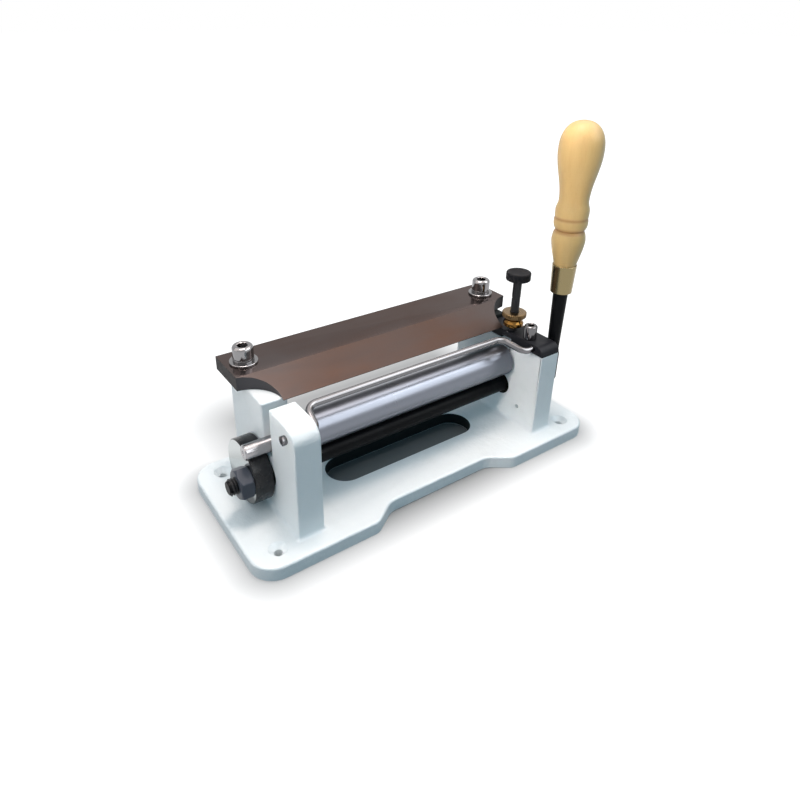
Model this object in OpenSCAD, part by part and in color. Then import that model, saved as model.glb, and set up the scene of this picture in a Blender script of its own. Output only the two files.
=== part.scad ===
// Hand-operated leather skiving machine. Millimetres, +X to the right along the roller, -Y to the front,
// +Z up, origin at the middle of the base plate's underside. Drawn at rest: handle upright, roller down.

/* [Base plate] */
// Length of the base plate, left to right
base_length = 255; // [250:1:290]
// Depth of the base plate, front to rear
base_depth = 104.5; // [102:0.5:120]
// Thickness of the base plate
base_thickness = 9; // [7:0.5:11]
// Radius of the base plate's corners
corner_radius = 15; // [8:1:16]
// Width of the front notch at the front edge
notch_width = 106; // [90:1:120]
// Width of the front notch at its bottom
notch_floor_width = 76; // [50:1:84]
// Depth of the front notch
notch_depth = 10.3; // [6:0.1:16]
// Length of the long slot
slot_length = 114; // [80:1:120]
// Width of the long slot
slot_width = 26; // [16:1:30]
// Distance of the screw holes from the plate's ends
hole_inset_x = 16.5; // [12:0.5:17]
// Distance of the screw holes from the plate's front and rear edges
hole_inset_y = 13.25; // [12:0.25:16]
// Diameter of the screw holes
hole_diameter = 5; // [4:0.1:5.5]
// Diameter of the countersinks
countersink_diameter = 11; // [8:0.5:12]

/* [Uprights] */
// Clear width between the uprights
throat_width = 164.4; // [158:0.2:166]
// Thickness of each upright, left to right
upright_width = 16.3; // [15:0.1:18]
// Distance of the uprights' front face from the middle
front_reach = 40; // [38:0.5:41.5]
// Distance of the uprights' rear face from the middle
rear_reach = 42; // [37:0.5:43]
// Height of the rear prongs, which carry the blade
blade_seat = 77; // [76.5:0.5:80]
// Height of the left front prong
nose_height = 79; // [78:0.5:82]
// Radius at the left front prong's front top corner
nose_radius = 10; // [6:0.5:12]
// Height of the right front prong, which carries the bridge cap
cap_seat = 68; // [67.6:0.2:68.4]
// Space left under the axle at the bottom of the fork slots
fork_floor_gap = 1.2; // [0.6:0.1:2]
// Distance in front of the middle of the small hole in the right upright's inner face
pin_hole_front = 23.6; // [20:0.2:30]
// Height of the small hole
pin_hole_height = 22.6; // [18:0.2:28]
// Diameter of the small hole
pin_hole_diameter = 3; // [2:0.1:4]
// Depth of the small hole
pin_hole_depth = 5; // [2:0.5:8]

/* [Blade] */
// Distance the blade stands out beyond each upright
blade_overhang = 5.4; // [3:0.2:10]
// Distance of the blade's rear face from the middle
blade_rear = 48.3; // [46:0.1:52]
// Distance of the cutting edge in front of the middle
edge_front = 5.2; // [4.6:0.1:5.6]
// Thickness of the blade
blade_thickness = 8.8; // [7:0.1:10]
// Distance behind the middle where the bevel starts
bevel_start = 18; // [14:0.5:19]
// Flat left at the cutting edge
edge_land = 0.4; // [0.3:0.05:0.8]
// Radius of the scallop at the left front corner
left_scallop_radius = 20; // [19:0.1:21]
// Distance of the left scallop's centre beyond the blade's end
left_scallop_out = 2.1; // [1:0.1:3]
// Distance of the left scallop's centre behind the cutting edge
left_scallop_back = 3.2; // [2:0.1:4]
// Radius of the scallop at the right front corner, which makes room for the lock nut
right_scallop_radius = 25.8; // [25.4:0.1:26.4]
// Distance of the right scallop's centre beyond the blade's end
right_scallop_out = 2.3; // [1.5:0.1:2.7]
// Distance of the right scallop's centre in front of the cutting edge
right_scallop_front = 0.4; // [0:0.1:1]
// Distance of the blade screws behind the middle
blade_screw_back = 32.6; // [31:0.1:33]
// Distance of the blade screws in from the uprights' outer faces
blade_screw_inset = 6; // [5.5:0.1:8]
// Thread diameter of the blade screws
blade_screw_diameter = 8; // [6:0.5:8]
// Head diameter of the blade screws
blade_head_diameter = 12.6; // [12:0.1:14]
// Head height of the blade screws
blade_head_height = 8; // [6:0.5:9]
// Width across the flats of the blade screws' sockets
blade_socket_flats = 6; // [5:0.5:6.5]
// Length of thread in the casting
blade_screw_grip = 16; // [12:1:20]
// Outer diameter of the blade washers
washer_diameter = 17; // [15:0.5:18]
// Thickness of the blade washers
washer_thickness = 1.6; // [1:0.1:2]
// Outer diameter of the spring washers
spring_diameter = 12.8; // [12:0.1:14]
// Thickness of the spring washers
spring_thickness = 1.8; // [1.4:0.1:2.2]
// Width of the split in the spring washers
spring_split = 1.2; // [0.8:0.1:2]

/* [Roller] */
// Diameter of the roller
roller_diameter = 22; // [20:0.1:22.4]
// Gap between each end of the roller and its upright
roller_end_gap = 1.2; // [0.6:0.1:2]
// Chamfer at the roller's ends
roller_chamfer = 1; // [0.5:0.1:1.5]
// Diameter of the roller's axle
axle_diameter = 9.2; // [8.6:0.1:9.4]
// Length of axle beyond each cam
axle_overhang = 2.5; // [1:0.1:4]
// Distance of the axle in front of the middle
axle_front = 6.8; // [6.4:0.1:7.2]
// Outer diameter of the roller's bushes
roller_bush_diameter = 14; // [13:0.5:15]
// Length of the roller's bushes
roller_bush_length = 15; // [10:1:20]
// Diameter of the roller's bore between the bushes
roller_bore = 11; // [10.5:0.1:12]

/* [Cam shaft] */
// Distance of the cam shaft in front of the middle
shaft_front = 6; // [5.6:0.1:6.4]
// Height of the cam shaft
shaft_height = 33.2; // [32.8:0.1:33.4]
// Diameter of the cam shaft
shaft_diameter = 12; // [11:0.5:13]
// Diameter of the threaded ends
stud_diameter = 10; // [9:0.5:10.5]
// Outer diameter of the shaft's bushes
shaft_bush_diameter = 16; // [15:0.5:18]
// Radius of the cams
cam_radius = 19.8; // [19.4:0.1:20]
// Distance of the cams' centre from the shaft's axis
cam_throw = 11.3; // [10.5:0.1:11.4]
// Angle of the cams' centre below the level, seen from the right
cam_dip = 7.6; // [6:0.1:9]
// Thickness of the cams
cam_width = 11.5; // [10:0.1:12]
// Gap between each cam and its upright
cam_gap = 0.7; // [0.4:0.1:1.2]
// Gap between cam and axle
cam_clearance = 0.3; // [0.25:0.05:0.5]
// Width across the flats of the cam nuts
nut_flats = 17; // [16:0.5:18]
// Height of the cam nuts
nut_height = 8.2; // [7:0.1:9]
// Length of stud beyond the nuts
stud_overhang = 5; // [2:0.5:7]
// Width and height of the keys in the cams
key_size = 3; // [2.5:0.1:3.2]
// Length of the keys
key_length = 9; // [6:0.5:9.5]

/* [Lever and handle] */
// Distance of the handle rod in front of the cam shaft
lever_reach = 23.1; // [21:0.1:24]
// Thickness of the lever's arm and diameter of its socket
lever_width = 9.6; // [9:0.1:10]
// Height of the top of the lever's socket
socket_top = 62; // [58:0.5:64]
// Height of the bottom of the lever's socket
socket_bottom = 42; // [38:0.5:44]
// Diameter of the handle rod's spigot in the socket
spigot_diameter = 5.5; // [5:0.1:6]
// Length of the spigot
spigot_length = 16; // [10:1:18]
// Diameter of the handle rod at the socket
rod_low_diameter = 7.8; // [7:0.1:8.6]
// Diameter of the handle rod at the ferrule
rod_top_diameter = 9.6; // [9:0.1:10]
// Height of the ferrule's lower end
ferrule_base = 106.6; // [100:0.2:112]
// Length of the ferrule
ferrule_length = 19; // [15:0.5:22]
// Diameter of the ferrule at its lower end
ferrule_low_diameter = 13.8; // [13.4:0.1:14.4]
// Diameter of the ferrule at its upper end
ferrule_top_diameter = 15.5; // [15:0.1:16.5]
// Wall of the ferrule
ferrule_wall = 1; // [0.8:0.1:1.2]
// Diameter of the rod's tang inside the grip
tang_diameter = 7; // [5:0.5:7]
// Length of the rod's tang
tang_length = 60; // [40:1:70]

/* [Grip] */
// Length of the grip beyond the ferrule
grip_length = 88.8; // [86:0.2:96]
// Diameter at the ferrule
grip_foot_diameter = 14.1; // [13.8:0.1:15]
// Diameter of the lower ring
ring_diameter = 20.9; // [20:0.1:23]
// Distance of the lower ring from the ferrule
ring_height = 15.9; // [12:0.1:18]
// Diameter of the deep groove
groove_diameter = 16; // [14:0.1:17]
// Distance of the deep groove from the ferrule
groove_height = 23.1; // [21:0.1:25]
// Diameter of the bead
bead_diameter = 20.9; // [19:0.1:23]
// Distance of the bead from the ferrule
bead_height = 28.3; // [27:0.1:29]
// Diameter of the fine groove
line_diameter = 19.9; // [18:0.1:20.5]
// Distance of the fine groove from the ferrule
line_height = 30.8; // [30:0.1:32]
// Diameter of the collar
collar_diameter = 20.7; // [20:0.1:23]
// Distance of the collar from the ferrule
collar_height = 35.3; // [34:0.1:37]
// Diameter of the neck
neck_diameter = 18.1; // [16:0.1:19]
// Distance of the neck from the ferrule
neck_height = 41.6; // [40:0.1:46]
// Diameter of the swell
swell_diameter = 26.7; // [24:0.1:30]
// Distance of the swell from the ferrule
swell_height = 71.7; // [66:0.1:74]
// Fullness of the rounded top: 2 is an ellipse
top_fullness = 2.3; // [2:0.1:3]

/* [Stabiliser bar] */
// Diameter of the bar
bar_diameter = 4.4; // [4:0.1:4.6]
// Distance of the bar's pivot in front of the middle
pivot_front = 31; // [30:0.5:32]
// Distance of the bar from its pivot line
bar_reach = 15.9; // [15:0.1:18]
// Angle of the bar above the level
bar_tilt = 19.3; // [18:0.1:26]
// Distance of the left leg's lower corner from the left upright
left_leg_gap = 2.2; // [2.1:0.1:3]
// Distance the left leg slants inwards
left_leg_slant = 1.8; // [1:0.1:3]
// Distance of the right leg's lower corner from the right upright
right_leg_gap = 7.2; // [7:0.1:14]
// Distance the right leg slants inwards
right_leg_slant = 7.5; // [3:0.1:9]
// Radius of the bends along the bar's middle
bend_radius = 7; // [5:0.1:7.6]
// Radius of the tight bend at the left upright, which starts inside the mouth of the pivot hole
tight_bend_radius = 4; // [3.6:0.1:4.2]
// Length of bar in the bridge cap
bar_seat = 10; // [6:0.5:12]
// Head diameter of the bar screw
bar_head_diameter = 5.4; // [5:0.1:7]
// Head height of the bar screw
bar_head_height = 2.2; // [1.5:0.1:3]
// Thread diameter of the bar screw
bar_thread_diameter = 2; // [1.6:0.1:2.5]
// Length of the bar screw's thread
bar_thread_length = 7; // [5:0.5:10]

/* [Bridge cap and adjuster] */
// Thickness of the bridge cap
cap_thickness = 6.4; // [6.2:0.1:8]
// Distance of the bridge cap's rear face behind the middle
cap_rear = 12; // [8:0.5:14]
// Gap between the bridge cap and the step in the rear prong
cap_rear_gap = 0.3; // [0.2:0.05:0.6]
// Radius at the cap's front top edge
cap_nose_radius = 6; // [3:0.5:6]
// Depth of the relief over the fork slot
cap_relief = 2; // [1.8:0.1:2.4]
// Distance of the cap screw in from the upright's inner face
cap_screw_inset = 5.4; // [5:0.1:10]
// Distance of the cap screw in front of the middle
cap_screw_front = 23; // [22:0.5:24]
// Thread diameter of the cap screw
cap_screw_diameter = 5; // [4:0.5:5]
// Head diameter of the cap screw
cap_head_diameter = 8.8; // [7.5:0.1:9.4]
// Head height of the cap screw
cap_head_height = 9.8; // [5:0.1:11]
// Width across the flats of the cap screw's socket
cap_socket_flats = 4; // [3:0.5:4]
// Length of the cap screw's thread in the casting
cap_screw_grip = 12; // [8:1:16]
// Distance of the adjuster in from the upright's inner face
stem_inset = 5.7; // [5.5:0.1:8]
// Diameter of the adjuster's stem
stem_diameter = 5.8; // [5:0.1:6]
// Diameter of the adjuster's knob
knob_diameter = 16.3; // [15:0.1:20]
// Thickness of the knob
knob_thickness = 5.5; // [4.5:0.1:6]
// Height of the knob's underside
knob_base = 111; // [104:0.5:116]
// Depth of the stem in the knob
knob_socket = 3.5; // [1.5:0.1:4]
// Height of the lock nut above the bridge cap, on the stem's thread
lock_gap = 3.5; // [3.2:0.1:4]
// Height of the lock nut
lock_height = 10; // [9:0.1:12]
// Diameter of the lock nut's lower flange
lock_flange_diameter = 13.7; // [12:0.1:14.2]
// Height of the lock nut's lower flange
lock_flange_height = 2.6; // [2:0.1:3]
// Diameter of the lock nut's waist
lock_waist_diameter = 11; // [10:0.1:11.5]
// Height of the lock nut's waist
lock_waist_height = 4.2; // [3.6:0.1:5]
// Diameter of the lock nut's rim
lock_rim_diameter = 16.4; // [15:0.1:17]
// Thickness of the lock nut's rim
lock_rim_height = 3.4; // [3:0.1:3.8]

/* [Fits] */
// Radial clearance where one piece turns or slides in another
run = 0.06; // [0.03:0.01:0.1]
// Radial clearance where two pieces are fixed together
slip = 0.03; // [0.02:0.01:0.06]
// Clearance on each side of the axle in the fork slots
slot_side = 0.08; // [0.04:0.01:0.1]
// Gap between a turning head and the face beside it
face_gap = 0.3; // [0.2:0.05:0.5]

/* [Hidden] */
// Names of the pieces
// Piece to draw: all, or one name of the list above
// Sides of the circles
$fn = 96;
// Length by which a cut runs past the face that it opens
cut = 1;
// Points on each curved stretch of the grip
grip_steps = 10;
// Radial thickening of the stabiliser bar in its bends, and how far the straight stretches run into them
bend_swell = 0.03;
bend_tuck = 0.4;

// Uprights, left to right
inner_x = throat_width / 2;
outer_x = inner_x + upright_width;

// Cams, shaft and axle
cam_in_x = outer_x + cam_gap;
cam_out_x = cam_in_x + cam_width;
cam_y = -shaft_front + cam_throw * cos(cam_dip);
cam_z = shaft_height - cam_throw * sin(cam_dip);
axle_y = -axle_front;
cam_to_axle = cam_radius + axle_diameter / 2 + cam_clearance;
axle_z = cam_z + sqrt(pow(cam_to_axle, 2) - pow(axle_y - cam_y, 2));
axle_end_x = cam_out_x + axle_overhang;
nut_out_x = cam_out_x + nut_height;
stud_end_x = nut_out_x + stud_overhang;

// Fork slots
fork_front = axle_y - axle_diameter / 2 - slot_side;
fork_rear = axle_y + axle_diameter / 2 + slot_side;
fork_floor = axle_z - axle_diameter / 2 - fork_floor_gap;

// Blade
blade_end_x = outer_x + blade_overhang;
blade_top = blade_seat + blade_thickness;
blade_screw_x = outer_x - blade_screw_inset;
head_seat = blade_top + washer_thickness + spring_thickness;

// Handle
lever_x = cam_in_x + cam_width / 2;
lever_y = -shaft_front - lever_reach;
ferrule_top = ferrule_base + ferrule_length;

// Bridge cap, stabiliser bar and adjuster
cap_top = cap_seat + cap_thickness;
pivot_z = cap_seat + cap_thickness / 2;
bar_left_x = -outer_x + face_gap;
bar_right_x = inner_x + bar_seat;
bar_hole = bar_diameter + 2 * run;
stem_x = inner_x + stem_inset;
stem_tip = cap_seat + cap_relief;
hex_corner = 1 / cos(30);

// Angle of a bar leg that slants inwards, and distance from its corners to the ends of the bends there
function leg_lean(slant) = atan2(bar_reach, slant);
function bend_back(slant, radius) = radius * tan(leg_lean(slant) / 2);

// Mouth of the left pivot hole: as deep as the tight bend goes in, and clear of the bend's inner side
mouth_depth = max(bend_back(left_leg_slant, tight_bend_radius) - left_leg_gap, face_gap);
mouth_throat = sqrt(pow(tight_bend_radius - bar_diameter / 2, 2) - pow(mouth_depth, 2));
mouth_diameter = 2 * (tight_bend_radius - mouth_throat + face_gap);

// Draws a Y-Z outline as a bar from one X to another
module along_x(from_x, to_x) {
  translate([from_x, 0, 0])
    rotate([90, 0, 90])
      linear_extrude(to_x - from_x)
        children();
}

// Round bar along X
module bar_x(from_x, to_x, y, z, diameter) {
  translate([from_x, y, z])
    rotate([0, 90, 0])
      cylinder(d = diameter, h = to_x - from_x);
}

// The same thing at the left and at the right
module both_sides() {
  children();
  mirror([1, 0, 0])
    children();
}

// Screw with a round head and a hexagon socket, head downwards face at height 0, thread pointing down
module socket_screw(thread, length, head, head_height, flats) {
  socket_depth = head_height / 2;
  difference() {
    union() {
      translate([0, 0, -length])
        cylinder(d = thread, h = length);
      cylinder(d = head, h = head_height);
    }
    translate([0, 0, head_height - socket_depth])
      cylinder(d = flats * hex_corner, h = socket_depth + cut, $fn = 6);
  }
}

// Base plate seen from above
module base_outline() {
  difference() {
    union() {
      square([base_length - 2 * corner_radius, base_depth], center = true);
      square([base_length, base_depth - 2 * corner_radius], center = true);
      for (x = [-1, 1], y = [-1, 1])
        translate([x * (base_length / 2 - corner_radius), y * (base_depth / 2 - corner_radius)])
          circle(r = corner_radius);
    }
    notch_outline();
    slot_outline();
  }
}

// Front notch, carried past the front edge along its slanted sides
module notch_outline() {
  front = -base_depth / 2;
  slant = (notch_width - notch_floor_width) / 2 / notch_depth;
  mouth = notch_width / 2 + slant * cut;
  polygon([[-mouth, front - cut], [mouth, front - cut], [notch_floor_width / 2, front + notch_depth],
           [-notch_floor_width / 2, front + notch_depth]]);
}

// Long slot with round ends
module slot_outline() {
  straight = slot_length - slot_width;
  square([straight, slot_width], center = true);
  for (x = [-1, 1])
    translate([x * straight / 2, 0])
      circle(d = slot_width);
}

// Left upright seen from the right: front prong with a rounded nose, fork slot, rear prong
module left_fork_outline() {
  difference() {
    union() {
      translate([-front_reach, 0])
        square([front_reach + rear_reach, blade_seat]);
      translate([-front_reach + nose_radius, 0])
        square([front_reach - nose_radius + fork_front, nose_height]);
      translate([-front_reach + nose_radius, nose_height - nose_radius])
        circle(r = nose_radius);
    }
    // Corner in front of the nose
    difference() {
      translate([-front_reach - cut, nose_height - nose_radius])
        square([nose_radius + cut, nose_radius + cut]);
      translate([-front_reach + nose_radius, nose_height - nose_radius])
        circle(r = nose_radius);
    }
    fork_slot_outline();
  }
}

// Right upright seen from the right: both prongs cut down for the bridge cap, blade seat behind it
module right_fork_outline() {
  difference() {
    translate([-front_reach, 0])
      square([front_reach + rear_reach, blade_seat]);
    translate([-front_reach - cut, cap_seat])
      square([front_reach + cap_rear + cap_rear_gap + cut, blade_seat]);
    fork_slot_outline();
  }
}

// Fork slot, open at the top
module fork_slot_outline() {
  translate([fork_front, fork_floor])
    square([fork_rear - fork_front, nose_height]);
}

module base_casting() {
  color([0.93, 0.92, 0.89])
    difference() {
      union() {
        linear_extrude(base_thickness)
          base_outline();
        along_x(-outer_x, -inner_x)
          left_fork_outline();
        along_x(inner_x, outer_x)
          right_fork_outline();
      }
      // Countersunk screw holes
      for (x = [-1, 1], y = [-1, 1])
        translate([x * (base_length / 2 - hole_inset_x), y * (base_depth / 2 - hole_inset_y), 0]) {
          translate([0, 0, -cut])
            cylinder(d = hole_diameter, h = base_thickness + 2 * cut);
          sink = (countersink_diameter - hole_diameter) / 2;
          translate([0, 0, base_thickness - sink])
            cylinder(d1 = hole_diameter, d2 = countersink_diameter, h = sink);
          translate([0, 0, base_thickness])
            cylinder(d = countersink_diameter, h = cut);
        }
      // Bores for the shaft's bushes
      both_sides()
        bar_x(inner_x - cut, outer_x + cut, -shaft_front, shaft_height, shaft_bush_diameter + 2 * slip);
      // Tapped holes for the blade screws
      both_sides()
        translate([blade_screw_x, blade_screw_back, blade_seat - blade_screw_grip - cut])
          cylinder(d = blade_screw_diameter + 2 * slip, h = blade_screw_grip + 2 * cut);
      // Tapped hole for the cap screw
      translate([inner_x + cap_screw_inset, -cap_screw_front, cap_seat - cap_screw_grip - cut])
        cylinder(d = cap_screw_diameter + 2 * slip, h = cap_screw_grip + 2 * cut);
      // Pivot hole of the stabiliser bar, with a flared mouth
      bar_x(-outer_x - cut, -inner_x + cut, -pivot_front, pivot_z, bar_hole);
      bar_x(-inner_x, -inner_x + cut, -pivot_front, pivot_z, mouth_diameter);
      translate([-inner_x - mouth_depth, -pivot_front, pivot_z])
        rotate([0, 90, 0])
          cylinder(d1 = bar_hole, d2 = mouth_diameter, h = mouth_depth);
      // Small hole in the right upright's inner face
      bar_x(inner_x - cut, inner_x + pin_hole_depth, -pin_hole_front, pin_hole_height, pin_hole_diameter);
    }
}

// Rounded cut through the blade about a centre
module scallop(x, y, radius) {
  translate([x, y, blade_seat - cut])
    cylinder(r = radius, h = blade_thickness + 2 * cut);
}

module blade() {
  color([0.27, 0.2, 0.17])
    difference() {
      along_x(-blade_end_x, blade_end_x)
        polygon([[-edge_front, blade_seat], [blade_rear, blade_seat], [blade_rear, blade_top],
                 [bevel_start, blade_top], [-edge_front, blade_seat + edge_land]]);
      scallop(-blade_end_x - left_scallop_out, -edge_front + left_scallop_back, left_scallop_radius);
      scallop(blade_end_x + right_scallop_out, -edge_front - right_scallop_front, right_scallop_radius);
      both_sides()
        translate([blade_screw_x, blade_screw_back, blade_seat - cut])
          cylinder(d = blade_screw_diameter + 2 * slip, h = blade_thickness + 2 * cut);
    }
}

module blade_screws() {
  color([0.78, 0.78, 0.8])
    both_sides()
      translate([blade_screw_x, blade_screw_back, head_seat])
        socket_screw(blade_screw_diameter, head_seat - blade_seat + blade_screw_grip, blade_head_diameter,
                     blade_head_height, blade_socket_flats);
}

// Ring around the thread of a blade screw
module washer(diameter, thickness) {
  difference() {
    cylinder(d = diameter, h = thickness);
    translate([0, 0, -cut])
      cylinder(d = blade_screw_diameter + 2 * slip, h = thickness + 2 * cut);
  }
}

// Flat washers, each under a split spring washer
module blade_washers() {
  color([0.72, 0.72, 0.74])
    both_sides()
      translate([blade_screw_x, blade_screw_back, blade_top]) {
        washer(washer_diameter, washer_thickness);
        translate([0, 0, washer_thickness])
          difference() {
            washer(spring_diameter, spring_thickness);
            translate([0, -spring_split / 2, -cut])
              cube([spring_diameter, spring_split, spring_thickness + 2 * cut]);
          }
      }
}

module roller() {
  end_x = inner_x - roller_end_gap;
  outer_r = roller_diameter / 2;
  bush_r = roller_bush_diameter / 2 + slip;
  bore_r = roller_bore / 2;
  step_x = end_x - roller_bush_length;
  color([0.8, 0.8, 0.8])
    translate([0, axle_y, axle_z])
      rotate([0, 90, 0])
        rotate_extrude()
          polygon([[bush_r, -end_x], [outer_r - roller_chamfer, -end_x], [outer_r, -end_x + roller_chamfer],
                   [outer_r, end_x - roller_chamfer], [outer_r - roller_chamfer, end_x], [bush_r, end_x],
                   [bush_r, step_x], [bore_r, step_x], [bore_r, -step_x], [bush_r, -step_x]]);
}

module roller_bushes() {
  end_x = inner_x - roller_end_gap;
  color([0.7, 0.5, 0.28])
    both_sides()
      difference() {
        bar_x(end_x - roller_bush_length, end_x, axle_y, axle_z, roller_bush_diameter);
        bar_x(end_x - roller_bush_length - cut, end_x + cut, axle_y, axle_z, axle_diameter + 2 * run);
      }
}

module roller_axle() {
  chamfer = axle_diameter / 12;
  axle_r = axle_diameter / 2;
  centre_r = axle_diameter / 6;
  color([0.8, 0.8, 0.81])
    translate([0, axle_y, axle_z])
      rotate([0, 90, 0])
        rotate_extrude()
          polygon([[0, -axle_end_x + centre_r], [centre_r, -axle_end_x], [axle_r - chamfer, -axle_end_x],
                   [axle_r, -axle_end_x + chamfer], [axle_r, axle_end_x - chamfer],
                   [axle_r - chamfer, axle_end_x], [centre_r, axle_end_x], [0, axle_end_x - centre_r]]);
}

module cam_shaft() {
  chamfer = stud_diameter / 8;
  shaft_r = shaft_diameter / 2;
  stud_r = stud_diameter / 2;
  color([0.1, 0.1, 0.11])
    difference() {
      translate([0, -shaft_front, shaft_height])
        rotate([0, 90, 0])
          rotate_extrude()
            polygon([[0, -stud_end_x], [stud_r - chamfer, -stud_end_x], [stud_r, -stud_end_x + chamfer],
                     [stud_r, -cam_in_x], [shaft_r, -cam_in_x], [shaft_r, cam_in_x], [stud_r, cam_in_x],
                     [stud_r, stud_end_x - chamfer], [stud_r - chamfer, stud_end_x], [0, stud_end_x]]);
      both_sides()
        key_space(slip);
    }
}

// Space of one key, grown by a clearance on its long faces
module key_space(clearance) {
  side = key_size + 2 * clearance;
  translate([lever_x - key_length / 2 - clearance, -shaft_front + stud_diameter / 2 - side / 2,
             shaft_height - side / 2])
    cube([key_length + 2 * clearance, side, side]);
}

module shaft_keys() {
  color([0.55, 0.55, 0.57])
    both_sides()
      key_space(0);
}

module shaft_bushes() {
  color([0.7, 0.5, 0.28])
    both_sides()
      difference() {
        bar_x(inner_x, outer_x, -shaft_front, shaft_height, shaft_bush_diameter);
        bar_x(inner_x - cut, outer_x + cut, -shaft_front, shaft_height, shaft_diameter + 2 * run);
      }
}

// Hole and keyway of a cam, through its whole width
module cam_bore() {
  bar_x(cam_in_x - cut, cam_out_x + cut, -shaft_front, shaft_height, stud_diameter + 2 * slip);
  side = key_size + 2 * slip;
  translate([cam_in_x - cut, -shaft_front + stud_diameter / 2 - side / 2, shaft_height - side / 2])
    cube([cam_width + 2 * cut, side, side]);
}

module left_cam() {
  color([0.16, 0.16, 0.17])
    mirror([1, 0, 0])
      difference() {
        bar_x(cam_in_x, cam_out_x, cam_y, cam_z, 2 * cam_radius);
        cam_bore();
      }
}

module lever_cam() {
  color([0.1, 0.1, 0.11])
    difference() {
      union() {
        bar_x(cam_in_x, cam_out_x, cam_y, cam_z, 2 * cam_radius);
        // Arm from the cam forward to the handle's socket, hollowed under the axle
        along_x(lever_x - lever_width / 2, lever_x + lever_width / 2)
          polygon([[lever_y, socket_bottom], [lever_y, socket_top], [lever_y + lever_width / 2, socket_top],
                   [fork_front - axle_diameter / 2, axle_z - axle_diameter], [-shaft_front, shaft_height],
                   [-shaft_front, shaft_height - shaft_diameter]]);
        translate([lever_x, lever_y, socket_bottom])
          cylinder(d = lever_width, h = socket_top - socket_bottom);
      }
      cam_bore();
      translate([lever_x, lever_y, socket_top - spigot_length])
        cylinder(d = spigot_diameter + 2 * slip, h = spigot_length + cut);
    }
}

// Hexagon nut from the cam's face outwards, with its outer corners turned off
module cam_nut() {
  corner = nut_flats * hex_corner;
  turned = nut_height / 5;
  difference() {
    translate([cam_out_x, -shaft_front, shaft_height])
      rotate([0, 90, 0])
        intersection() {
          cylinder(d = corner, h = nut_height, $fn = 6);
          union() {
            cylinder(d = corner, h = nut_height - turned);
            translate([0, 0, nut_height - turned])
              cylinder(d1 = corner, d2 = nut_flats - turned, h = turned);
          }
        }
    bar_x(cam_out_x - cut, nut_out_x + cut, -shaft_front, shaft_height, stud_diameter + 2 * slip);
  }
}

module left_nut() {
  color([0.12, 0.12, 0.13])
    mirror([1, 0, 0])
      cam_nut();
}

module right_nut() {
  color([0.12, 0.12, 0.13])
    cam_nut();
}

module handle_rod() {
  low_r = rod_low_diameter / 2;
  top_r = rod_top_diameter / 2;
  shoulder = ferrule_base + ferrule_wall;
  color([0.1, 0.1, 0.11])
    translate([lever_x, lever_y, 0])
      rotate_extrude()
        polygon([[0, socket_top - spigot_length], [spigot_diameter / 2, socket_top - spigot_length],
                 [spigot_diameter / 2, socket_top], [low_r, socket_top], [top_r, ferrule_base],
                 [top_r, shoulder], [tang_diameter / 2, shoulder],
                 [tang_diameter / 2, shoulder + tang_length], [0, shoulder + tang_length]]);
}

module ferrule() {
  low_r = ferrule_low_diameter / 2;
  top_r = ferrule_top_diameter / 2;
  floor_z = ferrule_base + ferrule_wall;
  color([0.75, 0.6, 0.28])
    translate([lever_x, lever_y, 0])
      rotate_extrude()
        polygon([[rod_top_diameter / 2 + slip, ferrule_base], [low_r, ferrule_base], [top_r, ferrule_top],
                 [top_r - ferrule_wall, ferrule_top], [low_r - ferrule_wall, floor_z],
                 [rod_top_diameter / 2 + slip, floor_z]]);
}

// Points of a curve that leaves and arrives level: from one radius and height to the next
function swept(from, to) = [for (i = [1:grip_steps])
  let (t = i / grip_steps)
    [from[0] + (to[0] - from[0]) * (1 - cos(180 * t)) / 2, from[1] + (to[1] - from[1]) * t]];

// Points of a quarter oval that arrives level
function rounded(from, to) = [for (i = [1:grip_steps])
  let (a = 90 * i / grip_steps)
    [from[0] + (to[0] - from[0]) * sin(a), from[1] + (to[1] - from[1]) * (1 - cos(a))]];

// Points of a quarter oval that leaves level
function shouldered(from, to) = [for (i = [1:grip_steps])
  let (a = 90 * i / grip_steps)
    [to[0] + (from[0] - to[0]) * cos(a), from[1] + (to[1] - from[1]) * sin(a)]];

// Points of the domed top, ending on the axis
function domed(from, height) = [for (i = [1:grip_steps])
  let (a = 90 * i / grip_steps)
    [i == grip_steps ? 0 : from[0] * pow(cos(a), 2 / top_fullness),
     from[1] + height * pow(sin(a), 2 / top_fullness)]];

module grip() {
  low_r = ferrule_low_diameter / 2 - ferrule_wall - slip;
  top_r = ferrule_top_diameter / 2 - ferrule_wall - slip;
  floor_z = ferrule_base + ferrule_wall;
  bore_r = tang_diameter / 2 + slip;
  foot = [grip_foot_diameter / 2, ferrule_top];
  ring = [ring_diameter / 2, ferrule_top + ring_height];
  groove = [groove_diameter / 2, ferrule_top + groove_height];
  bead = [bead_diameter / 2, ferrule_top + bead_height];
  line = [line_diameter / 2, ferrule_top + line_height];
  collar = [collar_diameter / 2, ferrule_top + collar_height];
  neck = [neck_diameter / 2, ferrule_top + neck_height];
  swell = [swell_diameter / 2, ferrule_top + swell_height];
  color([0.85, 0.7, 0.45])
    translate([lever_x, lever_y, 0])
      rotate_extrude()
        polygon(concat([[bore_r, floor_z], [low_r, floor_z], [top_r, ferrule_top], foot, ring],
                       shouldered(ring, groove), rounded(groove, bead), shouldered(bead, line),
                       rounded(line, collar), swept(collar, neck), swept(neck, swell),
                       domed(swell, grip_length - swell_height),
                       [[0, floor_z + tang_length + cut], [bore_r, floor_z + tang_length + cut]]));
}

// Straight stretch of the bar between two points of its plane
module bar_stretch(from, to) {
  run_x = to[0] - from[0];
  run_y = to[1] - from[1];
  translate([from[0], from[1], 0])
    rotate([0, 0, atan2(run_y, run_x)])
      rotate([0, 90, 0])
        cylinder(d = bar_diameter, h = norm([run_x, run_y]));
}

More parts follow.
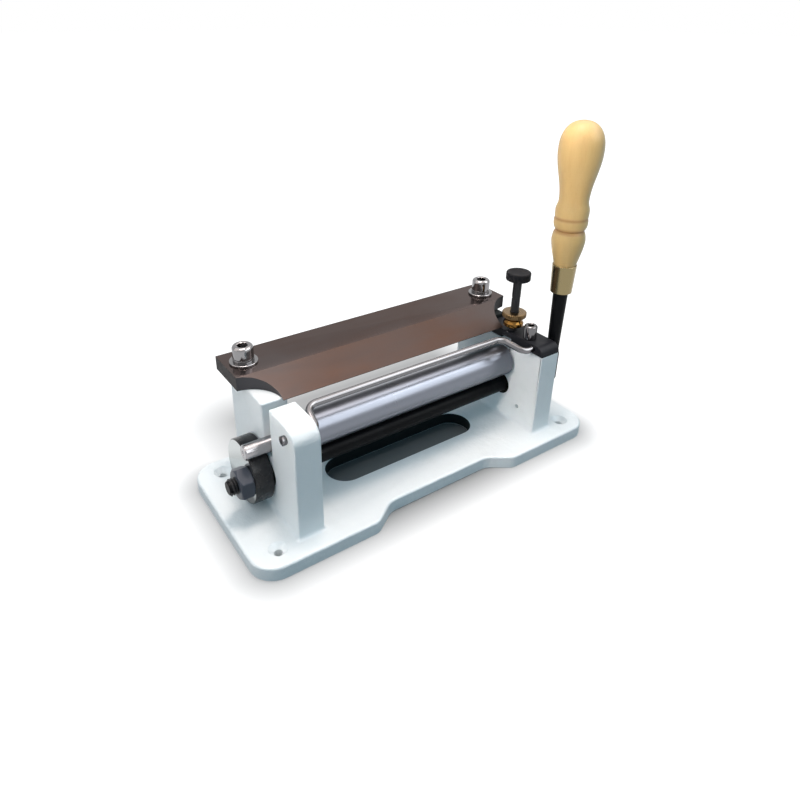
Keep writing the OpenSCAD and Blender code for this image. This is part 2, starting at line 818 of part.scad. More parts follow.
// Bend of the bar about a centre, from one angle on by a turn, a trace thicker than the straight stretches
module bar_bend(centre, radius, from_angle, turn) {
  translate([centre[0], centre[1], 0])
    rotate([0, 0, from_angle])
      rotate_extrude(angle = turn)
        translate([radius, 0])
          circle(d = bar_diameter + 2 * bend_swell);
}

// One end of the bar in its own plane: stretch in the upright, bend, leg, bend
module bar_end(end_x, corner_x, slant, low_radius) {
  lean = leg_lean(slant);
  low_back = bend_back(slant, low_radius);
  high_back = bend_back(slant, bend_radius);
  along = [cos(lean), sin(lean)];
  low = [corner_x, 0];
  high = [corner_x + slant, bar_reach];
  bar_stretch([end_x, 0], [low[0] - low_back + bend_tuck, 0]);
  bar_bend([low[0] - low_back, low_radius], low_radius, -90, lean);
  bar_stretch(low + (low_back - bend_tuck) * along, high - (high_back - bend_tuck) * along);
  bar_bend([high[0] + high_back, bar_reach - bend_radius], bend_radius, 90, lean);
}

module stabiliser_bar() {
  left_x = -inner_x + left_leg_gap + left_leg_slant + bend_back(left_leg_slant, bend_radius);
  right_x = inner_x - right_leg_gap - right_leg_slant - bend_back(right_leg_slant, bend_radius);
  color([0.8, 0.8, 0.82])
    difference() {
      translate([0, -pivot_front, pivot_z])
        rotate([bar_tilt, 0, 0]) {
          bar_end(bar_left_x, -inner_x + left_leg_gap, left_leg_slant, tight_bend_radius);
          bar_stretch([left_x - bend_tuck, bar_reach], [right_x + bend_tuck, bar_reach]);
          mirror([1, 0, 0])
            bar_end(-bar_right_x, -inner_x + right_leg_gap, right_leg_slant, bend_radius);
        }
      bar_x(bar_left_x - cut, bar_left_x + bar_thread_length, -pivot_front, pivot_z,
            bar_thread_diameter + 2 * slip);
    }
}

module bar_screw() {
  head_x = -outer_x - face_gap;
  color([0.8, 0.8, 0.82])
    difference() {
      union() {
        bar_x(head_x - bar_head_height, head_x, -pivot_front, pivot_z, bar_head_diameter);
        bar_x(head_x, bar_left_x + bar_thread_length - slip, -pivot_front, pivot_z, bar_thread_diameter);
      }
      // Screwdriver slot across the head
      slot = bar_head_diameter / 6;
      translate([head_x - bar_head_height - cut, -pivot_front - slot / 2, pivot_z - bar_head_diameter])
        cube([cut + bar_head_height / 2, slot, 2 * bar_head_diameter]);
    }
}

// Bridge cap seen from the right: square rear, front top edge rounded, relief over the fork slot
module cap_outline() {
  difference() {
    union() {
      translate([-front_reach, cap_seat])
        square([front_reach + cap_rear, cap_thickness - cap_nose_radius]);
      translate([-front_reach + cap_nose_radius, cap_seat])
        square([front_reach + cap_rear - cap_nose_radius, cap_thickness]);
      intersection() {
        translate([-front_reach + cap_nose_radius, cap_top - cap_nose_radius])
          circle(r = cap_nose_radius);
        translate([-front_reach, cap_top - cap_nose_radius])
          square([cap_nose_radius, cap_nose_radius]);
      }
    }
    translate([fork_front, cap_seat - cut])
      square([fork_rear - fork_front, cap_relief + cut]);
  }
}

module bridge_cap() {
  color([0.1, 0.1, 0.11])
    difference() {
      along_x(inner_x, outer_x)
        cap_outline();
      translate([inner_x + cap_screw_inset, -cap_screw_front, cap_seat - cut])
        cylinder(d = cap_screw_diameter + 2 * slip, h = cap_thickness + 2 * cut);
      translate([stem_x, axle_y, cap_seat])
        cylinder(d = stem_diameter + 2 * run, h = cap_thickness + cut);
      bar_x(inner_x - cut, bar_right_x + face_gap, -pivot_front, pivot_z, bar_hole);
    }
}

module cap_screw() {
  color([0.8, 0.8, 0.82])
    translate([inner_x + cap_screw_inset, -cap_screw_front, cap_top])
      socket_screw(cap_screw_diameter, cap_thickness + cap_screw_grip, cap_head_diameter, cap_head_height,
                   cap_socket_flats);
}

module adjuster_stem() {
  chamfer = stem_diameter / 8;
  stem_r = stem_diameter / 2;
  color([0.1, 0.1, 0.11])
    translate([stem_x, axle_y, 0])
      rotate_extrude()
        polygon([[0, stem_tip], [stem_r - chamfer, stem_tip], [stem_r, stem_tip + chamfer],
                 [stem_r, knob_base + knob_socket], [0, knob_base + knob_socket]]);
}

module adjuster_knob() {
  knob_r = knob_diameter / 2;
  chamfer = knob_thickness / 6;
  color([0.1, 0.1, 0.11])
    difference() {
      translate([stem_x, axle_y, knob_base])
        rotate_extrude()
          polygon([[0, 0], [knob_r - chamfer, 0], [knob_r, chamfer], [knob_r, knob_thickness - chamfer],
                   [knob_r - chamfer, knob_thickness], [0, knob_thickness]]);
      translate([stem_x, axle_y, knob_base - cut])
        cylinder(d = stem_diameter + 2 * run, h = knob_socket + run + cut);
    }
}

module lock_nut() {
  bore_r = stem_diameter / 2 + run;
  rim_r = lock_rim_diameter / 2;
  rim_low = lock_height - lock_rim_height;
  chamfer = lock_rim_height / 8;
  color([0.8, 0.62, 0.25])
    translate([stem_x, axle_y, cap_top + lock_gap])
      rotate_extrude()
        polygon([[bore_r, 0], [lock_flange_diameter / 2, 0], [lock_flange_diameter / 2, lock_flange_height],
                 [lock_waist_diameter / 2, lock_waist_height], [rim_r - chamfer, rim_low],
                 [rim_r, rim_low + chamfer], [rim_r, lock_height - chamfer], [rim_r - chamfer, lock_height],
                 [bore_r, lock_height]]);
}

base_casting();
blade();
blade_screws();
blade_washers();
roller();
roller_bushes();
roller_axle();
cam_shaft();
shaft_bushes();
shaft_keys();
left_cam();
left_nut();
lever_cam();
right_nut();
handle_rod();
ferrule();
grip();
stabiliser_bar();
bar_screw();
bridge_cap();
cap_screw();
adjuster_stem();
adjuster_knob();
lock_nut();
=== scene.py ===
"""Looks of a hand-operated leather skiving machine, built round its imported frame."""

import logging
import math
from dataclasses import dataclass
from enum import Enum
from typing import Optional, Sequence

import bmesh
import bpy
from mathutils import Matrix, Vector


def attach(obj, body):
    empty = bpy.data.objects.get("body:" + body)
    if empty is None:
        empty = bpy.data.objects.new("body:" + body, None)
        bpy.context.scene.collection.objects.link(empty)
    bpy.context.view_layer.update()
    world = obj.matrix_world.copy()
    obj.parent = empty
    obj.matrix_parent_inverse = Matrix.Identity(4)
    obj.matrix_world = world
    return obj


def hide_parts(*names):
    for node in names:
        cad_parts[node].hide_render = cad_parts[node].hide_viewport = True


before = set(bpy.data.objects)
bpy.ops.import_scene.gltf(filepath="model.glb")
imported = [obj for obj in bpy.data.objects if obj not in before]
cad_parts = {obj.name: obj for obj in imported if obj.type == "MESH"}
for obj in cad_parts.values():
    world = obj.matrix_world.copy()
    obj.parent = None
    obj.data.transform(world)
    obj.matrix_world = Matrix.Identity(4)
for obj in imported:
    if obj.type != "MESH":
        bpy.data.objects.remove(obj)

LOG = logging.getLogger("skiving_machine")
MM = 0.001
MERGE = 1e-4
SHARP_DEGREES = 38.0
LEAST_MITRE = 0.3
HERE = Matrix.Identity(4)
Point = tuple[float, float]
Triple = tuple[float, float, float]
Shell = bmesh.types.BMesh
Edges = list[bmesh.types.BMEdge]
Socket = bpy.types.NodeSocket
Piece = bpy.types.Object


class Way(Enum):
    """Which way a piece's own axis points."""

    UP = "up"
    RIGHT = "right"
    LEFT = "left"

    def placing(self, origin: Sequence[float] = (0, 0, 0)) -> Matrix:
        """Matrix that stands a piece drawn about its own Z axis in its place.

        Args:
            origin: Where the piece's own origin goes, in millimetres.

        Returns:
            The placing matrix. A drawing's first two directions become Y and Z for an axis along X.
        """
        turns = {
            Way.UP: HERE,
            Way.RIGHT: Matrix(((0, 0, 1, 0), (1, 0, 0, 0), (0, 1, 0, 0), (0, 0, 0, 1))),
            Way.LEFT: Matrix(((0, 0, -1, 0), (-1, 0, 0, 0), (0, 1, 0, 0), (0, 0, 0, 1))),
        }
        return Matrix.Translation(Vector(origin)) @ turns[self]


class Body(Enum):
    """The rigid bodies that pieces ride on."""

    FRAME = "frame"
    LEVER = "lever"
    AXLE = "axle"
    ROLLER = "roller"
    BAIL = "bail"
    ADJUSTER = "adjuster"
    KNOB = "knob"
    LOCKING = "locking"


@dataclass(frozen=True)
class Layout:
    """Places and sizes that several sub-assemblies share, in millimetres, as the CAD part has them."""

    inner_x: float = 82.2
    outer_x: float = 98.5
    base_top: float = 9.0
    blade_seat: float = 77.0
    blade_top: float = 85.8
    front_y: float = -40.0
    rear_y: float = 42.0
    axle_y: float = -6.8
    axle_z: float = 53.294
    axle_r: float = 4.6
    slot_side: float = 0.08
    fork_floor: float = 47.494
    shaft_y: float = -6.0
    shaft_z: float = 33.2
    cam_y: float = 5.201
    cam_z: float = 31.706
    cam_r: float = 19.8
    cam_in_x: float = 99.2
    cam_out_x: float = 110.7
    cap_seat: float = 68.0
    cap_top: float = 74.4
    pivot_y: float = -31.0
    pivot_z: float = 71.2
    pivot_hole: float = 4.52
    screw_x: float = 92.5
    screw_y: float = 32.6
    stem_x: float = 87.9
    lock_z: float = 77.9
    handle_x: float = 104.95
    handle_y: float = -29.1

    @property
    def fork_front(self) -> float:
        """Front wall of the fork slots."""
        return self.axle_y - self.axle_r - self.slot_side

    @property
    def fork_rear(self) -> float:
        """Rear wall of the fork slots."""
        return self.axle_y + self.axle_r + self.slot_side

    @property
    def cam_width(self) -> float:
        """Width of the cams along the shaft."""
        return self.cam_out_x - self.cam_in_x


PLACES = Layout()


class Sheet:
    """Node tree of one material, with short calls for the nodes that the finishes use."""

    def __init__(self, name: str) -> None:
        """Starts a material with one principled shader.

        Args:
            name: Name of the material.
        """
        self.material = bpy.data.materials.new(name)
        self.material.use_nodes = True
        self.tree = self.material.node_tree
        self.shader = self.tree.nodes["Principled BSDF"]

    def set(self, socket: str, value: object) -> None:
        """Sets or links one of the shader's sockets."""
        self._feed(self.shader.inputs[socket], value)

    def _feed(self, target: Socket, value: object) -> None:
        """Links a socket, or writes a value on it.

        Args:
            target: Socket to feed.
            value: Another node's output, a number or a colour.
        """
        if isinstance(value, Socket):
            self.tree.links.new(value, target)
        elif isinstance(value, tuple) and len(value) == 3 and target.type == "RGBA":
            target.default_value = (*value, 1.0)
        else:
            target.default_value = value

    def node(self, kind: str, inputs: dict[object, object], **choices: str) -> bpy.types.Node:
        """Adds a node.

        Args:
            kind: What kind of shader node it is.
            inputs: Value or source of each of its sockets, by name or number.
            choices: The node's own settings.

        Returns:
            The node.
        """
        made = self.tree.nodes.new(f"ShaderNode{kind}")
        for name, choice in choices.items():
            setattr(made, name, choice)
        for key, value in inputs.items():
            self._feed(made.inputs[key], value)
        return made

    def place(self) -> Socket:
        """Object coordinates."""
        return self.node("TexCoord", {}).outputs["Object"]

    def parts(self, coords: Socket) -> dict[str, Socket]:
        """The single coordinates X, Y and Z."""
        return {out.name: out for out in self.node("SeparateXYZ", {0: coords}).outputs}

    def mapped(self, coords: Socket, scale: Triple = (1.0, 1.0, 1.0), shift: Triple = (0, 0, 0)) -> Socket:
        """Coordinates shifted by metres and then stretched, along each axis."""
        moved = [a * b for a, b in zip(shift, scale)]
        return self.node("Mapping", {"Vector": coords, "Scale": scale, "Location": moved}).outputs["Vector"]

    def noise(self, coords: Socket, scale: float, detail: float = 3.0, roughness: float = 0.5) -> Socket:
        """Noise between 0 and 1, with so many lumps for each metre."""
        inputs = {"Vector": coords, "Scale": scale, "Detail": detail, "Roughness": roughness}
        return self.node("TexNoise", inputs).outputs["Fac"]

    def math(self, kind: str, first: object, second: object = 0.0) -> Socket:
        """Result of one sum on two values."""
        return self.node("Math", {0: first, 1: second}, operation=kind).outputs[0]

    def spread(self, value: Socket, start: Point, end: Point) -> Socket:
        """Value moved from the range that it has to the one that it gets, and held there."""
        limits = zip(("From Min", "From Max", "To Min", "To Max"), (*start, *end))
        return self.node("MapRange", {"Value": value, **dict(limits)}).outputs["Result"]

    def mixed(self, share: object, first: object, second: object) -> Socket:
        """Colour between two colours."""
        return self.node("Mix", {0: share, 6: first, 7: second}, data_type="RGBA").outputs[2]

    def bumped(self, height: Socket, strength: float, distance: float, base: Optional[Socket] = None) -> Socket:
        """Normal that follows a height.

        Args:
            height: Height between 0 and 1.
            strength: Share of the full effect.
            distance: Height in metres that 1 stands for.
            base: Normal to start from.

        Returns:
            The changed normal.
        """
        inputs = {"Strength": strength, "Distance": distance, "Height": height}
        if base is not None:
            inputs["Normal"] = base
        return self.node("Bump", inputs).outputs["Normal"]


@dataclass(frozen=True)
class Finish:
    """One finish: its name, the record's slot that it belongs to, its colour and its gloss."""

    name: str
    slot: str
    colour: Triple
    roughness: float
    metallic: float = 0.0

    def material(self) -> bpy.types.Material:
        """Makes the material, or finds it if it was made before.

        Returns:
            The material.
        """
        found = bpy.data.materials.get(self.name)
        if found is not None:
            return found
        sheet = Sheet(self.name)
        sheet.set("Base Color", self.colour)
        sheet.set("Roughness", self.roughness)
        sheet.set("Metallic", self.metallic)
        self.detail(sheet)
        return sheet.material

    def detail(self, sheet: Sheet) -> None:
        """Adds what is particular to the finish; a plain finish adds nothing."""

    def about(self, first: float, last: float) -> Point:
        """Range of roughness about the finish's own."""
        return self.roughness + first, self.roughness + last


@dataclass(frozen=True)
class Enamel(Finish):
    """Sprayed enamel on a sand casting: fine orange peel over a slightly wavy skin, faintly soiled."""

    soiled: Triple = (0.68, 0.7, 0.69)

    def detail(self, sheet: Sheet) -> None:
        """Adds soiling, gloss that comes and goes, orange peel and the casting's waves.

        Args:
            sheet: Sheet of the finish.
        """
        coords = sheet.place()
        soil = sheet.noise(coords, scale=55.0, detail=6.0, roughness=0.62)
        dirty = sheet.spread(soil, (0.52, 0.78), (0.0, 0.35))
        sheet.set("Base Color", sheet.mixed(dirty, self.colour, self.soiled))
        sheet.set("Roughness", sheet.spread(soil, (0.3, 0.7), self.about(-0.06, 0.1)))
        waves = sheet.noise(coords, scale=170.0, detail=5.0, roughness=0.62)
        peel = sheet.noise(coords, scale=1500.0, detail=2.0)
        wavy = sheet.bumped(waves, strength=0.7, distance=0.0009)
        sheet.set("Normal", sheet.bumped(peel, strength=0.16, distance=0.00012, base=wavy))


@dataclass(frozen=True)
class GroundSteel(Finish):
    """Flat-ground steel: fine lines along X, random brown patches, and a painted reflection gradient that darkens the
    middle along X and lightens the ends.
    """

    metallic: float = 1.0
    browned_and_shaded: Triple = (0.2, 0.12, 0.09)
    depth: float = 0.22
    grazing: Triple = (1.0, 1.0, 1.0)

    def detail(self, sheet: Sheet) -> None:
        """Adds brown patches, streaks, a painted reflection gradient along X, and grinding lines.

        Args:
            sheet: Sheet of the finish.
        """
        coords = sheet.place()
        lines = sheet.noise(sheet.mapped(coords, (0.02, 1.0, 1.0)), scale=3200.0, roughness=0.6)
        streaks = sheet.noise(sheet.mapped(coords, (0.16, 1.0, 1.0)), scale=130.0, detail=4.0, roughness=0.6)
        patches = sheet.noise(coords, scale=16.0)
        # Painted reflection: darker colour across the middle of the blade, lighter towards its ends.
        ends = sheet.spread(sheet.math("ABSOLUTE", sheet.parts(coords)["X"]), (0.03, 0.1), (0.35, -0.3))
        streaks_and_reflection_ramp = sheet.math("ADD", sheet.spread(streaks, (0.35, 0.75), (-0.12, 0.2)), ends)
        share = sheet.math("ADD", sheet.spread(patches, (0.38, 0.66), (0.1, 0.7)), streaks_and_reflection_ramp)
        sheet.set("Base Color", sheet.mixed(share, self.colour, self.browned_and_shaded))
        sheet.set("Roughness", sheet.spread(streaks, (0.3, 0.7), (0.85 * self.roughness, 1.15 * self.roughness)))
        sheet.set("Specular Tint", self.grazing)
        sheet.set("Normal", sheet.bumped(lines, strength=self.depth, distance=0.00003))


@dataclass(frozen=True)
class TurnedMetal(Finish):
    """Metal turned or ground round an axis: fine rings, and gloss that changes from ring to ring."""

    metallic: float = 1.0
    way: Way = Way.RIGHT
    centre: Point = (0.0, 0.0)
    rings: float = 2600.0
    depth: float = 0.16
    painted_dark_reflection: Optional[Triple] = None
    painted_reflection_line: Point = (0.0, 0.0)

    def detail(self, sheet: Sheet) -> None:
        """Adds rings about the axis, faint smudges and, below the given line, a painted dark reflection.

        Args:
            sheet: Sheet of the finish.
        """
        first, second = (-value * MM for value in self.centre)
        level = self.way is Way.RIGHT
        coords = sheet.mapped(sheet.place(), shift=(0.0, first, second) if level else (first, second, 0.0))
        parts = sheet.parts(coords)
        along, *across = "XYZ" if level else "ZXY"
        squares = [sheet.math("POWER", parts[axis], 2.0) for axis in across]
        away = sheet.math("SQRT", sheet.math("ADD", *squares))
        unrolled = sheet.node("CombineXYZ", {0: parts[along], 1: away}).outputs[0]
        rings = sheet.noise(unrolled, scale=self.rings, roughness=0.6)
        smudges = sheet.noise(coords, scale=60.0)
        sheet.set("Roughness", sheet.math("ADD", sheet.spread(rings, (0.3, 0.7), (-0.03, 0.03)),
                                          sheet.spread(smudges, (0.35, 0.75), self.about(-0.02, 0.03))))
        sheet.set("Normal", sheet.bumped(rings, strength=self.depth, distance=0.00003))
        # Below the line the colour darkens: a painted dark reflection.
        if self.painted_dark_reflection is not None:
            low, top = (value * MM for value in self.painted_reflection_line)
            high = sheet.math("ADD", parts["Z"], sheet.spread(smudges, (0.3, 0.7), (-0.002, 0.002)))
            sheet.set("Base Color", sheet.mixed(sheet.spread(high, (low, top), (1.0, 0.0)), self.colour, self.painted_dark_reflection))


@dataclass(frozen=True)
class PolishedMetal(Finish):
    """Polished metal: clean reflections, with faint smudges."""

    metallic: float = 1.0

    def detail(self, sheet: Sheet) -> None:
        """Adds smudges that dull the polish a little."""
        smudges = sheet.noise(sheet.place(), scale=160.0, detail=4.0, roughness=0.6)
        sheet.set("Roughness", sheet.spread(smudges, (0.35, 0.75), self.about(-0.02, 0.06)))


@dataclass(frozen=True)
class BlackSteel(Finish):
    """Blackened steel: near black, satin, with slightly lighter rubbed patches."""

    shine: float = 0.3
    rubbed: Triple = (0.03, 0.03, 0.034)
    grain: float = 1800.0

    def detail(self, sheet: Sheet) -> None:
        """Adds rubbed patches and a fine grain.

        Args:
            sheet: Sheet of the finish.
        """
        coords = sheet.place()
        patches = sheet.noise(coords, scale=120.0, detail=5.0, roughness=0.6)
        worn = sheet.spread(patches, (0.5, 0.8), (0.0, 0.6))
        sheet.set("Base Color", sheet.mixed(worn, self.colour, self.rubbed))
        sheet.set("Roughness", sheet.spread(patches, (0.3, 0.7), self.about(0.08, -0.05)))
        sheet.set("Specular IOR Level", self.shine)
        grain = sheet.noise(coords, scale=self.grain, detail=2.0)
        sheet.set("Normal", sheet.bumped(grain, strength=0.1, distance=0.00006))


@dataclass(frozen=True)
class LacqueredWood(Finish):
    """Pale turned wood under clear lacquer, with long grain along the handle.

    Each shaded groove has its height and its reach, in millimetres, and the strength of its painted shade.
    """

    grain: Triple = (0.56, 0.38, 0.18)
    centre: Point = (0.0, 0.0)
    heart: Point = (12.0, 20.0)
    grooves: tuple[Triple, ...] = ()
    groove_shade: Triple = (0.36, 0.15, 0.045)
    shine: float = 0.05
    lacquer: float = 0.5
    lacquer_roughness: float = 0.22

    def detail(self, sheet: Sheet) -> None:
        """Adds growth bands, pores, painted shade in the turned grooves and the lacquer's coat.

        Args:
            sheet: Sheet of the finish.
        """
        first, second = (-(value + off) * MM for value, off in zip(self.centre, self.heart))
        bands = sheet.noise(sheet.mapped(sheet.place(), (1.0, 1.0, 0.07), (first, second, 0.0)),
                            scale=240.0, detail=4.0, roughness=0.6)
        pores = sheet.noise(sheet.mapped(sheet.place(), (1.0, 1.0, 0.05)), scale=2600.0, detail=2.0)
        share = sheet.math("ADD", sheet.spread(bands, (0.42, 0.72), (0.0, 0.3)),
                           sheet.spread(pores, (0.55, 0.8), (0.0, 0.22)))
        up = sheet.parts(sheet.place())["Z"]
        # Darker brown at each groove and at the grip's foot: painted shade.
        groove_shading = 0.0
        for height, reach, most in self.grooves:
            off = sheet.math("ABSOLUTE", sheet.math("SUBTRACT", up, height * MM))
            groove_shading = sheet.math("MAXIMUM", sheet.spread(off, (0.0, reach * MM), (most, 0.0)), groove_shading)
        wood = sheet.mixed(share, self.colour, self.grain)
        sheet.set("Base Color", sheet.mixed(groove_shading, wood, self.groove_shade))
        sheet.set("Roughness", sheet.spread(bands, (0.3, 0.7), self.about(-0.04, 0.06)))
        sheet.set("Normal", sheet.bumped(pores, strength=0.08, distance=0.00005))
        sheet.set("Specular IOR Level", self.shine)
        sheet.set("Coat Weight", self.lacquer)
        sheet.set("Coat Roughness", self.lacquer_roughness)


AXLE_LINE = (PLACES.axle_y, PLACES.axle_z)
STEM_LINE = (PLACES.stem_x, PLACES.axle_y)
WHITE_ENAMEL = Enamel("white_enamel", "enamel", (0.84, 0.86, 0.86), 0.38)
# Near-black finish on the slot's walls and the right step: painted shade.
SHADE_BLACK = BlackSteel("painted_shade_black", "enamel", (0.02, 0.0235, 0.024), 0.5, shine=0.08,
                          rubbed=(0.034, 0.036, 0.036))
BLADE_FLAT = GroundSteel("blade_flat", "blade_steel", (0.105, 0.088, 0.086), 0.15, browned_and_shaded=(0.08, 0.053, 0.045),
                         depth=0.04, grazing=(0.75, 0.7, 0.68))
BLADE_BEVEL = GroundSteel("blade_bevel", "blade_steel", (0.055, 0.045, 0.043), 0.36, browned_and_shaded=(0.058, 0.034, 0.0255))
BLADE_SIDE = BlackSteel("blade_side", "blade_steel", (0.034, 0.03, 0.03), 0.5, shine=0.06,
                        rubbed=(0.05, 0.042, 0.04))
# The underside is lighter than the top flat so that the roller below shows a brighter reflection of it: painted
# reflection.
BLADE_UNDER = GroundSteel("blade_underside", "blade_steel", (0.32, 0.31, 0.31), 0.3, browned_and_shaded=(0.25, 0.22, 0.2))
BLADE_SCALLOP = GroundSteel("blade_scallop", "blade_steel", (0.055, 0.055, 0.06), 0.42, browned_and_shaded=(0.05, 0.045, 0.045))
CHROME_UP = PolishedMetal("polished_screws", "bright_steel", (0.25, 0.245, 0.25), 0.1)
CAP_CHROME = PolishedMetal("polished_cap_screw", "bright_steel", (0.15, 0.148, 0.152), 0.12)
CHROME_BAR = PolishedMetal("polished_bar", "bright_steel", (0.17, 0.168, 0.175), 0.12)
BRASS_FERRULE = PolishedMetal("brushed_brass", "brass", (0.25, 0.2, 0.105), 0.24)
ROLLER_CHROME = TurnedMetal("satin_chrome", "roller_chrome", (0.17, 0.183, 0.213), 0.31, centre=AXLE_LINE,
                            rings=900.0, depth=0.012)
AXLE_STEEL = TurnedMetal("ground_axle", "ground_steel", (0.3, 0.295, 0.305), 0.2, centre=AXLE_LINE, rings=900.0,
                         depth=0.015)
# The ground face darkens below its middle: a painted dark reflection.
CAM_FACE = TurnedMetal("ground_cam_face", "black_steel", (0.42, 0.45, 0.45), 0.14,
                       centre=(PLACES.cam_y, PLACES.cam_z), rings=1800.0, depth=0.05,
                       painted_dark_reflection=(0.03, 0.032, 0.034), painted_reflection_line=(-10.0, -3.0))
BRASS_NUT = TurnedMetal("turned_brass", "brass", (0.17, 0.088, 0.023), 0.14, way=Way.UP, centre=STEM_LINE,
                        rings=2200.0, depth=0.06)
BRASS_DULL = TurnedMetal("dull_brass", "brass", (0.2, 0.135, 0.068), 0.28, way=Way.UP, centre=STEM_LINE,
                         rings=2200.0, depth=0.1)
# Bronze made near black.
BRONZE = TurnedMetal("darkened_bronze", "bronze", (0.022, 0.017, 0.012), 0.4, centre=(PLACES.shaft_y, PLACES.shaft_z),
                     rings=2400.0)
BLACK_STEEL = BlackSteel("blackened_steel", "black_steel", (0.004, 0.0042, 0.005), 0.36, shine=0.06,
                         rubbed=(0.014, 0.014, 0.016))
CAM_BLACK = BlackSteel("blackened_cam", "black_steel", (0.007, 0.0075, 0.009), 0.24, rubbed=(0.016, 0.017, 0.02))
STEM_BLACK = BlackSteel("blackened_stem", "black_steel", (0.018, 0.018, 0.02), 0.36, shine=0.2)
NUT_BLACK = BlackSteel("blackened_nut", "black_steel", (0.06, 0.066, 0.084), 0.3, shine=0.16,
                       rubbed=(0.075, 0.08, 0.095))
CAP_BLACK = BlackSteel("blackened_cap", "black_steel", (0.015, 0.0155, 0.0185), 0.34, shine=0.07,
                       rubbed=(0.028, 0.028, 0.032))
KNOB_BLACK = BlackSteel("black_knob", "knob_black", (0.02, 0.0195, 0.021), 0.5, shine=0.03,
                        rubbed=(0.028, 0.027, 0.03))
PALE_WOOD = LacqueredWood("lacquered_wood", "wood", (0.63, 0.43, 0.172), 0.42, grain=(0.52, 0.305, 0.1),
                          centre=(PLACES.handle_x, PLACES.handle_y),
                          grooves=((148.70, 2.4, 0.75), (156.40, 1.5, 0.6), (125.60, 1.2, 0.5)))


def quarter(segments: int) -> list[float]:
    """Even angles from 0 to a right angle."""
    return [math.pi / 2 * i / segments for i in range(segments + 1)]


@dataclass(frozen=True)
class Rim:
    """How a slab's wall meets its flat: pairs of inset and depth, from the wall to the flat."""

    steps: tuple[Point, ...] = ()

    @classmethod
    def rounded(cls, radius: float, segments: int = 5) -> "Rim":
        """Quarter round of a radius."""
        return cls(tuple((radius * (1 - math.cos(a)), radius * (1 - math.sin(a))) for a in quarter(segments)))

    @classmethod
    def sloped(cls, inset: float, depth: float) -> "Rim":
        """Straight slope, such as a countersink."""
        return cls(((0.0, depth), (inset, 0.0)))


@dataclass(frozen=True)
class Contour:
    """A closed line of a slab with the material on its left, and its rims at the low and the high flat.

    A pocket stops that far from the flat that it opens in: the high flat if positive, the low flat if negative.
    """

    points: tuple[Point, ...]
    low: Rim = Rim()
    high: Rim = Rim()
    pocket: float = 0.0

    def stations(self, low: float, high: float) -> list[Point]:
        """Pairs of inset and height from the low flat to the high flat.

        Args:
            low: Height of the low flat.
            high: Height of the high flat.

        Returns:
            The pairs, without those that a pocket doesn't reach.
        """
        rise = [(inset, low + depth) for inset, depth in reversed(self.low.steps)]
        fall = [(inset, high - depth) for inset, depth in self.high.steps]
        if self.pocket > 0:
            return [(0.0, high - self.pocket), *fall]
        if self.pocket < 0:
            return [*rise, (0.0, low - self.pocket)]
        return rise + fall

    def moved(self, inset: float) -> list[Point]:
        """The line moved into the material.

        Args:
            inset: How far it moves.

        Returns:
            The moved points.
        """
        count = len(self.points)
        out: list[Point] = []
        for i in range(count):
            before, here, after = (Vector(self.points[j % count]) for j in (i - 1, i, i + 1))
            first, second = (here - before).normalized(), (after - here).normalized()
            first, second = Vector((-first.y, first.x)), Vector((-second.y, second.x))
            middle = (first + second).normalized()
            out.append(tuple(here + middle * (inset / max(middle.dot(first), LEAST_MITRE))))
        return out


def outline(corners: Sequence[Triple], segments: int = 8) -> tuple[Point, ...]:
    """Closed line with rounded corners.

    Args:
        corners: Corners in turn, each with the length of edge that its rounding takes.
        segments: Straight pieces in each rounding.

    Returns:
        The line's points, anticlockwise as the corners are.
    """
    flat = bmesh.new()
    verts = [flat.verts.new((u, v, 0.0)) for u, v, _ in corners]
    flat.faces.new(verts)
    for vert, (_, _, reach) in zip(verts, corners):
        if reach > 0:
            bmesh.ops.bevel(flat, geom=[vert], offset=reach, offset_type="OFFSET", segments=segments, profile=0.5,
                            affect="VERTICES", clamp_overlap=True, material=-1)
    flat.faces.ensure_lookup_table()
    points = tuple((corner.vert.co.x, corner.vert.co.y) for corner in flat.faces[0].loops)
    flat.free()
    return points


def round_hole(centre: Point, diameter: float, segments: int = 32) -> tuple[Point, ...]:
    """Closed line of a round hole, clockwise so that the material is on its left."""
    turns = [-math.tau * i / segments for i in range(segments)]
    return tuple((centre[0] + diameter / 2 * math.cos(a), centre[1] + diameter / 2 * math.sin(a)) for a in turns)


def ring(shell: Shell, points: Sequence[Point], height: float) -> Edges:
    """Closed ring of edges through points at one height."""
    verts = [shell.verts.new((u, v, height)) for u, v in points]
    return [shell.edges.new(pair) for pair in zip(verts, verts[1:] + verts[:1])]


def smoothed(shell: Shell) -> Shell:
    """Makes every face of a shell shade smoothly.

    Args:
        shell: Shell to change.

    Returns:
        The same shell.
    """
    for face in shell.faces:
        face.smooth = True
    return shell


def slab(contours: Sequence[Contour], low: float, high: float) -> Shell:
    """Flat piece between two heights, bounded by closed lines, with rounded or sloped rims.

    Args:
        contours: The outer line first, then the holes.
        low: Height of the low flat.
        high: Height of the high flat.

    Returns:
        The closed shell.
    """
    shell = bmesh.new()
    floor: Edges = []
    roof: Edges = []
    for contour in contours:
        rings = [ring(shell, contour.moved(inset), height) for inset, height in contour.stations(low, high)]
        for first, second in zip(rings, rings[1:]):
            for face in bmesh.ops.bridge_loops(shell, edges=first + second)["faces"]:
                face.smooth = True
        floor += rings[0] if contour.pocket <= 0 else []
        roof += rings[-1] if contour.pocket >= 0 else []
        if contour.pocket:
            bmesh.ops.edgeloop_fill(shell, edges=rings[0] if contour.pocket > 0 else rings[-1])
    for edges in (floor, roof):
        bmesh.ops.triangle_fill(shell, use_beauty=True, edges=edges)
    return shell


